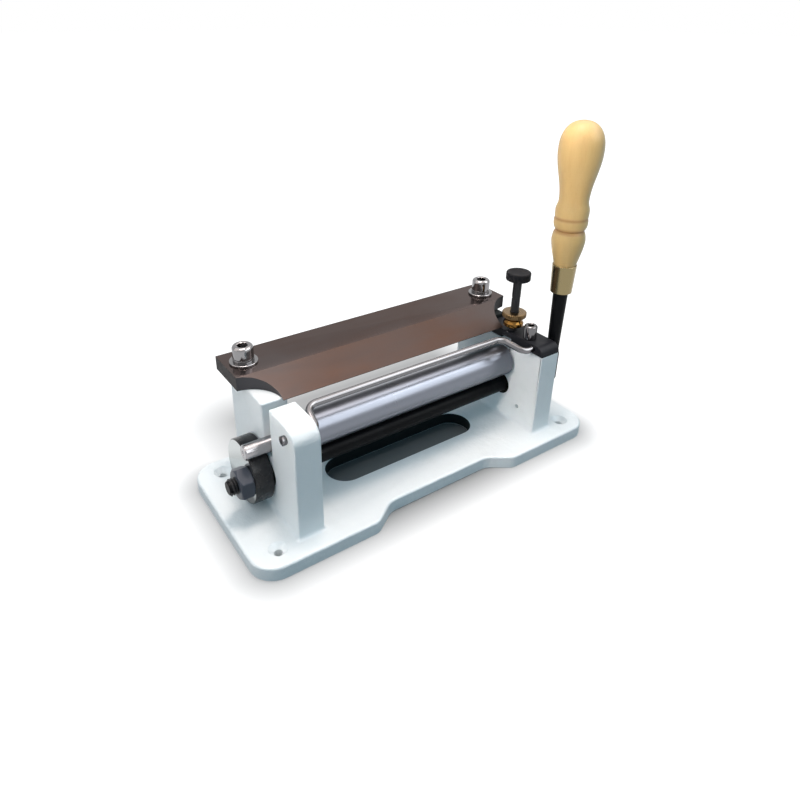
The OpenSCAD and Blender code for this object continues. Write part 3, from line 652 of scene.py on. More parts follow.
def turned(profile: Sequence[Point], steps: int = 64, closed: bool = False) -> Shell:
    """Piece turned on a lathe.

    Args:
        profile: Points of radius and height in turn.
        steps: Sides of the turned piece.
        closed: Whether the profile's end joins its start.

    Returns:
        The shell, about the Z axis.
    """
    shell = bmesh.new()
    verts = [shell.verts.new((radius, 0.0, height)) for radius, height in profile]
    edges = [shell.edges.new(pair) for pair in zip(verts, verts[1:])]
    if closed:
        edges.append(shell.edges.new((verts[-1], verts[0])))
    bmesh.ops.spin(shell, geom=verts + edges, cent=(0, 0, 0), axis=(0, 0, 1), angle=math.tau, steps=steps,
                   use_merge=True)
    bmesh.ops.remove_doubles(shell, verts=shell.verts, dist=MERGE)
    bmesh.ops.recalc_face_normals(shell, faces=shell.faces)
    return smoothed(shell)


def eased(shell: Shell, width: float, segments: int = 2, angle: float = 28.0) -> Shell:
    """Rounds each edge of a shell that is sharper than an angle.

    Args:
        shell: Shell to change.
        width: Width of the rounding.
        segments: Faces across the rounding.
        angle: Sharpness in degrees from which an edge is rounded.

    Returns:
        The same shell.
    """
    sharp = [edge for edge in shell.edges if edge.is_manifold and edge.calc_face_angle(0.0) > math.radians(angle)]
    made = bmesh.ops.bevel(shell, geom=sharp, offset=width, offset_type="OFFSET", segments=segments, profile=0.5,
                           affect="EDGES", clamp_overlap=True, material=-1)
    for face in made["faces"]:
        face.smooth = True
    return shell


def hex_radius(vert: bmesh.types.BMVert, flats: float) -> float:
    """Distance from a hexagon's middle to its side, in a vertex's direction."""
    turn = math.atan2(vert.co.y, vert.co.x)
    return flats / 2 / math.cos((turn + math.pi / 6) % (math.pi / 3) - math.pi / 6)


def hex_corner(flats: float) -> float:
    """Distance from a hexagon's middle to its corners."""
    return flats / 2 / math.cos(math.pi / 6)


def drawn_in(vert: bmesh.types.BMVert, share: float) -> None:
    """Moves a vertex to a share of its distance from the Z axis."""
    vert.co.x *= share
    vert.co.y *= share


def socket_screw(head: float, height: float, flats: float, thread: float, length: float) -> Shell:
    """Cap screw with a rounded head and a hexagon socket, head upwards from height 0.

    Args:
        head: Diameter of the head.
        height: Height of the head.
        flats: Width across the socket's flats.
        thread: Diameter of the thread.
        length: Length of the thread.

    Returns:
        The shell.
    """
    half, corner, brow, floor = head / 2, hex_corner(flats), 0.15 * head, height - height / 2
    edge, mouth, cone = 0.3, 0.4, 0.8
    soft = [(half - brow * (1 - math.cos(a)), height - brow * (1 - math.sin(a))) for a in quarter(5)]
    shell = turned([(0.0, -length), (thread / 2, -length), (thread / 2, -0.02), (half - edge, 0.0), (half, 0.4),
                    (half, 0.55), (half, height - brow - 0.15), *soft, (corner + edge, height - 0.05),
                    (corner, height - mouth), (corner, floor), (0.0, floor - cone)], 48)
    for vert in shell.verts:
        away = math.hypot(vert.co.x, vert.co.y)
        if vert.co.z > floor - 0.1 and abs(away - corner) < 0.01:
            drawn_in(vert, hex_radius(vert, flats) / away)
    return shell


def thread_coil(root: float, crest: float, pitch: float, turns: int, sides: int = 32) -> Shell:
    """Screw thread about the Z axis, from height 0 up, made by spinning one tooth along its helix.

    Args:
        root: Radius at the thread's root.
        crest: Radius at the thread's crest.
        pitch: Rise in each turn.
        turns: Number of turns.
        sides: Steps in each turn.

    Returns:
        The shell, open where it lies on its core.
    """
    shell = bmesh.new()
    tooth = [(root, 0.0), (crest, 0.4), (crest, 0.55), (root, 0.95), (root, 1.0)]
    verts = [shell.verts.new((radius, 0.0, rise * pitch - pitch / 2)) for radius, rise in tooth]
    edges = [shell.edges.new(pair) for pair in zip(verts, verts[1:])]
    bmesh.ops.spin(shell, geom=verts + edges, cent=(0, 0, 0), axis=(0, 0, 1), dvec=(0, 0, pitch / sides),
                   angle=math.tau * turns, steps=sides * turns)
    return smoothed(shell)


class Workpiece:
    """A mesh under construction, in millimetres, made of one or more shells."""

    def __init__(self) -> None:
        """Starts with no shell."""
        self.bm = bmesh.new()

    def take(self, shell: Shell, placing: Matrix = HERE, finish: Optional[int] = 0) -> "Workpiece":
        """Merges a shell's doubles, turns its faces outwards and adds it in its place.

        Args:
            shell: Shell to add; it is used up.
            placing: Where it goes.
            finish: Number of its finish, or None if its faces have theirs already.

        Returns:
            The work itself.
        """
        bmesh.ops.remove_doubles(shell, verts=shell.verts, dist=MERGE)
        bmesh.ops.recalc_face_normals(shell, faces=shell.faces)
        bmesh.ops.transform(shell, matrix=placing, verts=shell.verts)
        if finish is not None:
            for face in shell.faces:
                face.material_index = finish
        mesh = bpy.data.meshes.new("shell")
        shell.to_mesh(mesh)
        shell.free()
        self.bm.from_mesh(mesh)
        bpy.data.meshes.remove(mesh)
        return self

    def piece(self, name: str, body: Body, finishes: Sequence[Finish], nodes: Sequence[str]) -> Piece:
        """Ends the work: makes the object, dresses it and sets it on its body.

        Args:
            name: Name of the piece.
            body: Body that it rides on.
            finishes: Its finishes, in the order of their numbers.
            nodes: CAD nodes that it stands for.

        Returns:
            The finished object.
        """
        bmesh.ops.scale(self.bm, vec=(MM, MM, MM), verts=self.bm.verts)
        mesh = bpy.data.meshes.new(name)
        self.bm.to_mesh(mesh)
        self.bm.free()
        mesh.set_sharp_from_angle(angle=math.radians(SHARP_DEGREES))
        made = bpy.data.objects.new(name, mesh)
        bpy.context.scene.collection.objects.link(made)
        made.modifiers.new("even_shading", "WEIGHTED_NORMAL").keep_sharp = True
        for finish in finishes:
            mesh.materials.append(finish.material())
        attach(made, body.value)
        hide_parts(*nodes)
        LOG.info("%s: %d faces", name, len(mesh.polygons))
        return made


@dataclass
class Casting:
    """White cast frame: base plate with notch, slot and screw holes, and two fork-shaped uprights."""

    layout: Layout
    half_length: float = 127.5
    half_depth: float = 52.25
    corner: float = 15.0
    base_edge: float = 1.7
    base_under: float = 0.6
    notch_half: float = 53.0
    notch_floor_half: float = 38.0
    notch_depth: float = 10.3
    notch_lip: float = 2.5
    notch_corner: float = 3.5
    slot_half_length: float = 57.0
    slot_half_width: float = 13.0
    slot_edge: float = 1.0
    slot_under: float = 0.4
    slot_margin: float = 0.5
    wall_lean: float = 0.35
    hole_x: float = 111.0
    hole_y: float = 39.0
    hole: float = 5.0
    hole_under: float = 0.2
    countersink: float = 11.0
    nose_top: float = 79.0
    nose_radius: float = 10.0
    fork_corner: float = 1.6
    bush: float = 16.06
    bush_edge: float = 0.4
    pivot_edge: float = 0.3
    pivot_mouth: Point = (0.87, 1.37)
    blind_hole: Point = (-23.6, 22.6)
    blind_width: float = 3.0
    blind_depth: float = 5.0
    step_y: float = 12.3
    step_edge: float = 0.6
    step_corner: float = 0.3
    step_shade_depth: float = 12.0
    step_margin: Point = (0.2, 0.3)
    step_lean: float = 0.4
    seat_edge: float = 0.5
    rim: float = 1.1
    sunk: float = 4.0
    fillet: float = 2.4
    fillet_sunk: float = 0.8

    def build(self) -> Piece:
        """Makes the casting from its base, its two forks and the fillets at their feet.

        Returns:
            The casting.
        """
        place = self.layout
        work = Workpiece().take(self._base(), finish=None)
        for left in (True, False):
            low, high = (-place.outer_x, -place.inner_x) if left else (place.inner_x, place.outer_x)
            work.take(self._fork(left, low, high), Way.RIGHT.placing(), None)
            work.take(self._foot(low, high))
        return work.piece("casting", Body.FRAME, [WHITE_ENAMEL, SHADE_BLACK], ["base_casting"])

    def _base(self) -> Shell:
        """Base plate with softly rounded edges; the slot's walls get a near-black finish, a painted shade.

        Returns:
            The shell.
        """
        x, y, deep = self.half_length, self.half_depth, self.half_depth - self.notch_depth
        outer = outline([(-x, -y, self.corner), (-self.notch_half, -y, self.notch_lip),
                         (-self.notch_floor_half, -deep, self.notch_corner),
                         (self.notch_floor_half, -deep, self.notch_corner), (self.notch_half, -y, self.notch_lip),
                         (x, -y, self.corner), (x, y, self.corner), (-x, y, self.corner)], 10)
        end, side = self.slot_half_length, self.slot_half_width
        reach = side - 0.02  # leaves a sliver of edge between the two roundings of an end
        inner = outline([(-end, -side, reach), (-end, side, reach), (end, side, reach), (end, -side, reach)], 14)
        sink = (self.countersink - self.hole) / 2
        holes = [Contour(round_hole((sx * self.hole_x, sy * self.hole_y), self.hole), Rim.rounded(self.hole_under, 2),
                         Rim.sloped(sink, sink)) for sx in (-1, 1) for sy in (-1, 1)]
        shell = slab([Contour(outer, Rim.rounded(self.base_under, 3), Rim.rounded(self.base_edge)),
                      Contour(inner, Rim.rounded(self.slot_under, 2), Rim.rounded(self.slot_edge)), *holes],
                     0.0, self.layout.base_top)
        shell.normal_update()
        for face in shell.faces:
            spot = face.calc_center_median()
            in_slot = abs(spot.x) < end + self.slot_margin and abs(spot.y) < side + self.slot_margin
            # The slot's walls take the near-black finish: painted shade.
            face.material_index = 1 if in_slot and abs(face.normal.z) < self.wall_lean else 0
        return shell

    def _fork(self, left: bool, low: float, high: float) -> Shell:
        """One upright, drawn in Y and Z and as thick as the upright is wide.

        Args:
            left: Whether it is the left one.
            low: Where it starts along X.
            high: Where it ends along X.

        Returns:
            The shell.
        """
        place, soft = self.layout, self.rim
        foot = place.base_top - self.sunk
        slot = [(place.fork_rear, place.fork_floor, self.fork_corner),
                (place.fork_front, place.fork_floor, self.fork_corner)]
        if left:
            upper = [(place.fork_rear, place.blade_seat, soft), *slot, (place.fork_front, self.nose_top, soft),
                     (place.front_y, self.nose_top, self.nose_radius)]
        else:
            edge = self.step_edge
            upper = [(self.step_y, place.blade_seat, edge), (self.step_y, place.cap_seat, self.step_corner),
                     (place.fork_rear, place.cap_seat, edge), *slot, (place.fork_front, place.cap_seat, edge),
                     (place.front_y, place.cap_seat, self.seat_edge)]
        outer = outline([(place.front_y, foot, 0.0), (place.rear_y, foot, 0.0),
                         (place.rear_y, place.blade_seat, soft), *upper])
        rim, bush_rim = Rim.rounded(self.rim, 4), Rim.rounded(self.bush_edge, 2)
        hole_rim = Rim.rounded(self.pivot_edge, 2)
        lines = [Contour(outer, rim, rim),
                 Contour(round_hole((place.shaft_y, place.shaft_z), self.bush, 48), bush_rim, bush_rim)]
        if left:
            pivot = round_hole((place.pivot_y, place.pivot_z), place.pivot_hole)
            return slab([*lines, Contour(pivot, hole_rim, Rim.sloped(*self.pivot_mouth))], low, high)
        blind = round_hole(self.blind_hole, self.blind_width, 24)
        shell = slab([*lines, Contour(blind, hole_rim, hole_rim, -self.blind_depth)], low, high)
        self._shade_step(shell)
        return shell

    def _shade_step(self, shell: Shell) -> None:
        """Gives the step behind the bridge cap a near-black finish, a painted shade, where the blade's scallop shows
        it.

        Args:
            shell: The right upright, as it is drawn.
        """
        rear = self.step_y + self.step_shade_depth
        before, below = self.step_margin
        bmesh.ops.bisect_plane(shell, geom=shell.verts[:] + shell.edges[:] + shell.faces[:], plane_co=(rear, 0, 0),
                               plane_no=(1, 0, 0))
        bmesh.ops.recalc_face_normals(shell, faces=shell.faces)
        for face in shell.faces:
            spot = face.calc_center_median()
            outward = face.normal.y > self.step_lean or face.normal.x < -self.step_lean
            if self.step_y - before < spot.x < rear and spot.y > self.layout.cap_seat + below and outward:
                # Near-black finish on the step: painted shade.
                face.material_index = 1

    def _foot(self, low: float, high: float) -> Shell:
        """Concave fillet round the foot of one upright, as a closed band.

        Args:
            low: Where the upright starts along X.
            high: Where it ends along X.

        Returns:
            The shell.
        """
        place, size, sunk = self.layout, self.fillet, self.fillet_sunk
        plan = [(low, place.front_y), (high, place.front_y), (high, place.rear_y), (low, place.rear_y)]
        line = Contour(outline([(*spot, self.rim) for spot in plan], 4))
        stations = [(-size * (1 - math.cos(a)), place.base_top + size * (1 - math.sin(a))) for a in quarter(6)]
        stations += [(-size, place.base_top - sunk), (sunk, place.base_top - sunk), (sunk, place.base_top + size)]
        shell = bmesh.new()
        rings = [ring(shell, line.moved(inset), height) for inset, height in stations]
        for first, second in zip(rings, rings[1:] + rings[:1]):
            bmesh.ops.bridge_loops(shell, edges=first + second)
        return smoothed(shell)


class BladeFace(Enum):
    """The blade's kinds of face, with the numbers of their finishes."""

    FLAT = 0
    BEVEL = 1
    SIDE = 2
    UNDER = 3
    SCALLOP = 4


@dataclass
class BladeSet:
    """Bevelled blade with scalloped front corners, its two cap screws and their washers."""

    layout: Layout
    end_x: float = 103.9
    rear_y: float = 48.3
    edge_y: float = -5.2
    bevel_y: float = 18.0
    land: float = 0.4
    broken_edge: float = 0.22
    flat_lean: float = 0.985
    smooth_lean: float = 0.9
    steep_lean: float = 0.7
    cut_margin: float = 0.3
    left_scallop: Triple = (106.0, -2.0, 20.0)
    right_scallop: Triple = (106.2, -5.6, 25.8)
    head: float = 12.6
    head_height: float = 8.0
    flats: float = 6.0
    thread: float = 8.0
    play: float = 0.05
    grip: float = 28.2
    washer: float = 17.0
    washer_height: float = 1.6
    washer_edge: float = 0.45
    spring: float = 12.8
    spring_height: float = 1.8
    spring_edge: float = 0.25
    split: float = 1.2

    def build(self) -> list[Piece]:
        """Makes the blade, the washers and the screws.

        Returns:
            The three pieces.
        """
        place = self.layout
        washers, screws = Workpiece(), Workpiece()
        bore, above = self.thread / 2 + self.play, place.blade_top + self.washer_height
        for x in (-place.screw_x, place.screw_x):
            flat = turned([(bore, 0.0), (self.washer / 2, 0.0), (self.washer / 2, self.washer_height),
                           (bore, self.washer_height)], 64, closed=True)
            washers.take(eased(flat, self.washer_edge, 3), Way.UP.placing((x, place.screw_y, place.blade_top)))
            washers.take(self._spring(bore), Way.UP.placing((x, place.screw_y, above)))
            screw = socket_screw(self.head, self.head_height, self.flats, self.thread, self.grip)
            screws.take(screw, Way.UP.placing((x, place.screw_y, above + self.spring_height)))
        return [self._blade(), washers.piece("blade_washers_polished", Body.FRAME, [CHROME_UP], ["blade_washers"]),
                screws.piece("blade_screws_polished", Body.FRAME, [CHROME_UP], ["blade_screws"])]

    def _spring(self, bore: float) -> Shell:
        """Spring washer: most of a ring, spun from its section, with square ends at the split.

        Args:
            bore: Radius of its hole.

        Returns:
            The shell, standing on height 0.
        """
        outer, high = self.spring / 2, self.spring_height
        gap = math.asin(self.split / 2 / outer)
        shell = bmesh.new()
        corners = ((bore, 0), (outer, 0), (outer, high), (bore, high))
        section = shell.faces.new([shell.verts.new((radius, 0.0, height)) for radius, height in corners])
        bmesh.ops.rotate(shell, matrix=Matrix.Rotation(gap, 3, "Z"), verts=shell.verts)
        bmesh.ops.spin(shell, geom=[section], cent=(0, 0, 0), axis=(0, 0, 1), angle=math.tau - 2 * gap, steps=60)
        bmesh.ops.recalc_face_normals(shell, faces=shell.faces)
        return eased(smoothed(shell), self.spring_edge, angle=50.0)

    def _scallop(self, centre_x: float, centre_y: float, radius: float) -> list[Point]:
        """Rounded cut at the right front corner, from the blade's end to its edge.

        Args:
            centre_x: Middle of the cut along X.
            centre_y: Middle of the cut along Y.
            radius: Radius of the cut.

        Returns:
            Its points in turn.
        """
        start = math.acos((self.end_x - centre_x) / radius)
        end = math.pi - math.asin((self.edge_y - centre_y) / radius)
        turns = [start + (end - start) * i / 32 for i in range(33)]
        return [(centre_x + radius * math.cos(a), centre_y + radius * math.sin(a)) for a in turns]

    def _plan(self) -> list[Point]:
        """Plan of the blade, anticlockwise from the rear right corner."""
        left, right = self._scallop(*self.left_scallop), self._scallop(*self.right_scallop)
        return [(self.end_x, self.rear_y), (-self.end_x, self.rear_y), *[(-x, y) for x, y in left], *right[::-1]]

    def _kind(self, face: bmesh.types.BMFace) -> BladeFace:
        """Tells what kind of face one of the blade's faces is, from its lean and its place.

        Args:
            face: The face.

        Returns:
            Its kind.
        """
        lean, spot = face.normal.z, face.calc_center_median()
        if lean > self.steep_lean:
            return BladeFace.FLAT if lean > self.flat_lean else BladeFace.BEVEL
        if lean < -self.steep_lean:
            return BladeFace.UNDER
        middle_x, middle_y, radius = self.left_scallop
        in_cut = abs(math.hypot(spot.x + middle_x, spot.y - middle_y) - radius) < self.cut_margin
        return BladeFace.SCALLOP if in_cut else BladeFace.SIDE

    def _blade(self) -> Piece:
        """Blade: plan raised to its thickness, cut along the bevel, edges just broken.

        Returns:
            The blade.
        """
        place = self.layout
        shell = bmesh.new()
        plan = shell.faces.new([shell.verts.new((x, y, place.blade_seat)) for x, y in self._plan()])
        raised = bmesh.ops.extrude_face_region(shell, geom=[plan])["geom"]
        bmesh.ops.translate(shell, vec=(0, 0, place.blade_top - place.blade_seat),
                            verts=[item for item in raised if isinstance(item, bmesh.types.BMVert)])
        rise, run = place.blade_top - place.blade_seat - self.land, self.bevel_y - self.edge_y
        cut = bmesh.ops.bisect_plane(shell, geom=shell.verts[:] + shell.edges[:] + shell.faces[:],
                                     plane_co=(0, self.bevel_y, place.blade_top),
                                     plane_no=Vector((0, -rise, run)).normalized(), clear_outer=True)
        rim = [item for item in cut["geom_cut"] if isinstance(item, bmesh.types.BMEdge)]
        bmesh.ops.edgenet_fill(shell, edges=[edge for edge in rim if edge.is_boundary])
        bmesh.ops.remove_doubles(shell, verts=shell.verts, dist=MERGE)
        bmesh.ops.recalc_face_normals(shell, faces=shell.faces)
        eased(shell, self.broken_edge, angle=40.0)
        for face in shell.faces:
            face.smooth = abs(face.normal.z) < self.smooth_lean
            face.material_index = self._kind(face).value
        finishes = [BLADE_FLAT, BLADE_BEVEL, BLADE_SIDE, BLADE_UNDER, BLADE_SCALLOP]
        return Workpiece().take(shell, finish=None).piece("bevelled_blade", Body.FRAME, finishes, ["blade"])


@dataclass
class RollerSet:
    """Chromed roller and the axle that it turns on."""

    layout: Layout
    radius: float = 11.0
    half_length: float = 81.0
    bush: float = 7.03
    bush_length: float = 15.0
    play: float = 0.9
    edge: float = 0.8
    soft: float = 0.25
    axle_end: float = 113.2
    axle_mark: float = 1.5

    def build(self) -> list[Piece]:
        """Makes the roller and the axle.

        Returns:
            The two pieces.
        """
        place, edge, mark = self.layout, self.edge, self.axle_mark
        spot = Way.RIGHT.placing((0, place.axle_y, place.axle_z))
        end, inner, bore, radius = self.half_length, self.half_length - self.bush_length, self.bush, self.radius
        free = place.axle_r + self.play
        tube = turned([(bore, -end), (radius - edge, -end), (radius, -end + edge), (radius, end - edge),
                       (radius - edge, end), (bore, end), (bore, inner), (free, inner), (free, -inner),
                       (bore, -inner)], 96, closed=True)
        half, tip = place.axle_r, self.axle_end
        rod = turned([(0.0, -tip + mark), (mark, -tip), (half - edge, -tip), (half, -tip + edge), (half, tip - edge),
                      (half - edge, tip), (mark, tip), (0.0, tip - mark)], 64)
        roller, axle = Workpiece().take(eased(tube, self.soft), spot), Workpiece().take(rod, spot)
        return [roller.piece("chromed_roller", Body.ROLLER, [ROLLER_CHROME], ["roller"]),
                axle.piece("bright_axle", Body.AXLE, [AXLE_STEEL], ["roller_axle"])]


@dataclass
class CamSet:
    """Cam shaft with threaded ends, the left cam and the two nuts."""

    layout: Layout
    shaft: float = 6.0
    stud: float = 5.0
    stud_end: float = 123.9
    stud_tip: Point = (0.5, 0.9)
    thread_depth: float = 0.75
    pitch: float = 1.5
    hidden_thread: float = 4.0
    cam_edges: Point = (0.6, 0.5)
    nut_flats: float = 17.0
    nut_height: float = 8.2
    nut_slope: float = 1.3
    nut_inset: float = 0.35
    nut_inside: Triple = (-0.1, 0.2, -0.4)
    nut_mouth: float = 0.7

    def build(self) -> list[Piece]:
        """Makes the shaft, the left cam and the nuts."""
        return [self._shaft(), self._left_cam(), self._nut(Way.LEFT, "left"), self._nut(Way.RIGHT, "right")]

    def _shaft(self) -> Piece:
        """Shaft with a screw thread on both ends.

        Returns:
            The shaft.
        """
        place, end, root, bare = self.layout, self.stud_end, self.stud - self.thread_depth, self.layout.cam_in_x
        slim, tip = self.stud_tip
        half = [(self.shaft, bare), (root, bare), (root, end - tip), (root - slim, end), (0.0, end)]
        work = Workpiece().take(turned([*[(radius, -x) for radius, x in reversed(half)], *half], 64),
                                Way.RIGHT.placing((0, place.shaft_y, place.shaft_z)))
        turns = int((end - tip - (place.cam_out_x + self.nut_height - self.hidden_thread)) / self.pitch)
        for way, side in ((Way.RIGHT, 1), (Way.LEFT, -1)):
            start = side * (end - tip - turns * self.pitch)
            work.take(thread_coil(root, self.stud, self.pitch, turns),
                      way.placing((start, place.shaft_y, place.shaft_z)), 1)
        return work.piece("threaded_shaft", Body.LEVER, [BLACK_STEEL, STEM_BLACK], ["cam_shaft"])

    def _left_cam(self) -> Piece:
        """Eccentric disc with a bright ground face.

        Returns:
            The cam.
        """
        place, thick, radius = self.layout, self.layout.cam_width, self.layout.cam_r
        inner, outer = self.cam_edges
        shell = turned([(0.0, 0.0), (radius - inner, 0.0), (radius, inner), (radius, thick - outer),
                        (radius - outer, thick), (0.0, thick)], 128)
        for face in shell.faces:
            face.material_index = 1 if min(vert.co.z for vert in face.verts) > thick - 0.01 else 0
        work = Workpiece().take(shell, Way.LEFT.placing((-place.cam_in_x, place.cam_y, place.cam_z)), None)
        return work.piece("left_cam_disc", Body.LEVER, [CAM_BLACK, CAM_FACE], ["left_cam"])

    def _nut(self, way: Way, side: str) -> Piece:
        """Hexagon nut with turned-off corners at both ends.

        Args:
            way: Which way it faces.
            side: Side of the machine, for its name.

        Returns:
            The nut.
        """
        place, high = self.layout, self.nut_height
        wide, slim = hex_corner(self.nut_flats), self.nut_flats / 2 - self.nut_inset
        rear, front, thread = (self.stud + off for off in self.nut_inside)
        slope = [(slim + (wide - slim) * i / 5, self.nut_slope * (i / 5)) for i in range(6)]
        shell = turned([(rear, 0.0), *slope, *[(radius, high - rise) for radius, rise in reversed(slope)],
                        (front, high), (thread, high - self.nut_mouth)], 96, closed=True)
        for vert in shell.verts:
            drawn_in(vert, min(1.0, hex_radius(vert, self.nut_flats) / math.hypot(vert.co.x, vert.co.y)))
        start = place.cam_out_x if way is Way.RIGHT else -place.cam_out_x
        spot = way.placing((start, place.shaft_y, place.shaft_z))
        return Workpiece().take(shell, spot).piece(f"{side}_hex_nut", Body.LEVER, [NUT_BLACK], [f"{side}_nut"])


@dataclass
class LeverSet:
    """Right-hand cam with its arm, the handle rod, the brass ferrule and the turned grip.

    The grip's points are radius and height above the ferrule, from its foot up to its swell.
    """

    layout: Layout
    width: float = 9.6
    edge: float = 0.6
    arm_depth: float = 12.0
    arm_edge: float = 0.8
    arm_corners: Point = (3.0, 1.2)
    socket_top: float = 62.0
    socket_low: float = 42.0
    rod_low: float = 3.9
    rod_top: float = 4.8
    rod_shoulder: float = 1.0
    rod_root: Point = (2.7, 16.0)
    rod_tang: Point = (3.45, 60.0)
    ferrule_z: float = 106.6
    ferrule_length: float = 19.0
    ferrule_low: float = 6.9
    ferrule_top: float = 7.75
    ferrule_wall: float = 1.0
    ferrule_edge: float = 0.35
    play: float = 0.03
    grip_length: float = 88.8
    plug: tuple[Point, ...] = ((3.53, -18.0), (5.87, -18.0), (6.72, -0.01))
    foot: Point = (7.05, 0.0)
    ring: Point = (10.45, 15.9)
    groove: Point = (8.0, 23.1)
    bead: Point = (10.45, 28.3)
    line: Point = (9.95, 30.8)
    collar: Point = (10.35, 35.3)
    neck: Point = (9.05, 41.6)
    swell: Point = (13.35, 71.7)
    crown: float = 0.16
    fullness: float = 2.3

    def build(self) -> list[Piece]:
        """Makes the lever cam, the rod, the ferrule and the grip."""
        return [self._lever(), self._rod(), self._ferrule(), self._grip()]

    def _standing(self, height: float = 0.0) -> Matrix:
        """Placing on the handle's axis at one height."""
        return Way.UP.placing((self.layout.handle_x, self.layout.handle_y, height))

    def _disc(self, radius: float, height: float, sides: int) -> Shell:
        """Disc or pin with eased edges, standing on height 0."""
        return eased(turned([(0.0, 0.0), (radius, 0.0), (radius, height), (0.0, height)], sides), self.edge)

    def _lever(self) -> Piece:
        """Eccentric disc with an arm forward to the handle's socket.

        Returns:
            The lever cam.
        """
        place, half, x, y = self.layout, self.width / 2, self.layout.handle_x, self.layout.handle_y
        under, (inside, outside) = place.axle_z - 2 * place.axle_r, self.arm_corners
        arm = outline([(y, self.socket_low, 0.0), (place.shaft_y, place.shaft_z - self.arm_depth, 0.0),
                       (place.shaft_y, place.shaft_z, 0.0), (place.fork_front - place.axle_r, under, inside),
                       (y + half, self.socket_top, outside), (y, self.socket_top, 0.0)])
        rim = Rim.rounded(self.arm_edge, 3)
        work = Workpiece().take(self._disc(place.cam_r, place.cam_width, 128),
                                Way.RIGHT.placing((place.cam_in_x, place.cam_y, place.cam_z)))
        work.take(slab([Contour(arm, rim, rim)], x - half, x + half), Way.RIGHT.placing())
        work.take(self._disc(half, self.socket_top - self.socket_low, 48), self._standing(self.socket_low))
        return work.piece("lever_and_cam", Body.LEVER, [BLACK_STEEL], ["lever_cam"])

    def _rod(self) -> Piece:
        """Tapered handle rod, from the socket into the grip.

        Returns:
            The rod.
        """
        low, high, shoulder = self.socket_top, self.ferrule_z, self.ferrule_z + self.rod_shoulder
        (root, deep), (tang, reach) = self.rod_root, self.rod_tang
        shell = turned([(0.0, low - deep), (root, low - deep), (root, low), (self.rod_low, low), (self.rod_top, high),
                        (self.rod_top, shoulder), (tang, shoulder), (tang, high + reach), (0.0, high + reach)], 48)
        work = Workpiece().take(shell, self._standing())
        return work.piece("tapered_rod", Body.LEVER, [BLACK_STEEL], ["handle_rod"])

    def _ferrule(self) -> Piece:
        """Tapered brass tube with rolled ends.

        Returns:
            The ferrule.
        """
        low, high, wall = self.ferrule_z, self.ferrule_z + self.ferrule_length, self.ferrule_wall
        bore, slim, wide = self.rod_top + self.play, self.ferrule_low, self.ferrule_top
        shell = turned([(bore, low), (slim, low), (wide, high), (wide - wall, high), (slim - wall, low + wall),
                        (bore, low + wall)], 96, closed=True)
        work = Workpiece().take(eased(shell, self.ferrule_edge, 3), self._standing())
        return work.piece("brass_ferrule", Body.LEVER, [BRASS_FERRULE], ["ferrule"])

    def _grip(self) -> Piece:
        """Turned wooden grip: ring, groove, bead, collar, neck and swell under a domed top.

        Returns:
            The grip.
        """
        profile = [*self.plug, self.foot, *self._straight(self.foot, self.ring),
                   *self._falling(self.ring, self.groove), *self._rising(self.groove, self.bead),
                   *self._falling(self.bead, self.line), *self._rising(self.line, self.collar),
                   *self._sweeping(self.collar, self.neck), *self._sweeping(self.neck, self.swell),
                   *self._dome(self.swell)]
        work = Workpiece().take(turned(profile, 96), self._standing(self.ferrule_z + self.ferrule_length))
        return work.piece("turned_grip", Body.LEVER, [PALE_WOOD], ["grip"])

    @staticmethod
    def _shares(count: int = 14) -> list[float]:
        """Even shares from just after 0 to 1."""
        return [(i + 1) / count for i in range(count)]

    @staticmethod
    def _between(start: Point, end: Point, out: float, up: float) -> Point:
        """Point at one share of the way outwards and another of the way up."""
        return start[0] + (end[0] - start[0]) * out, start[1] + (end[1] - start[1]) * up

    def _straight(self, start: Point, end: Point) -> list[Point]:
        """Slightly crowned slope that rounds off at its end."""
        return [self._between(start, end, t + self.crown * math.sin(math.pi * t) * t, t) for t in self._shares()]

    def _falling(self, start: Point, end: Point) -> list[Point]:
        """Quarter oval that leaves level."""
        turns = [math.pi / 2 * t for t in self._shares()]
        return [self._between(start, end, 1 - math.cos(a), math.sin(a)) for a in turns]

    def _rising(self, start: Point, end: Point) -> list[Point]:
        """Quarter oval that arrives level."""
        turns = [math.pi / 2 * t for t in self._shares()]
        return [self._between(start, end, math.sin(a), 1 - math.cos(a)) for a in turns]

    def _sweeping(self, start: Point, end: Point) -> list[Point]:
        """Curve that leaves and arrives level."""
        return [self._between(start, end, (1 - math.cos(math.pi * t)) / 2, t) for t in self._shares(20)]

    def _dome(self, start: Point) -> list[Point]:
        """Full rounded top.

        Args:
            start: Where it starts.

        Returns:
            Its points, ending on the axis.
        """
        power, rise = 2 / self.fullness, self.grip_length - start[1]
        turns = [math.pi / 2 * t for t in self._shares(20)[:-1]]
        return [*((start[0] * math.cos(a) ** power, start[1] + rise * math.sin(a) ** power) for a in turns),
                (0.0, self.grip_length)]


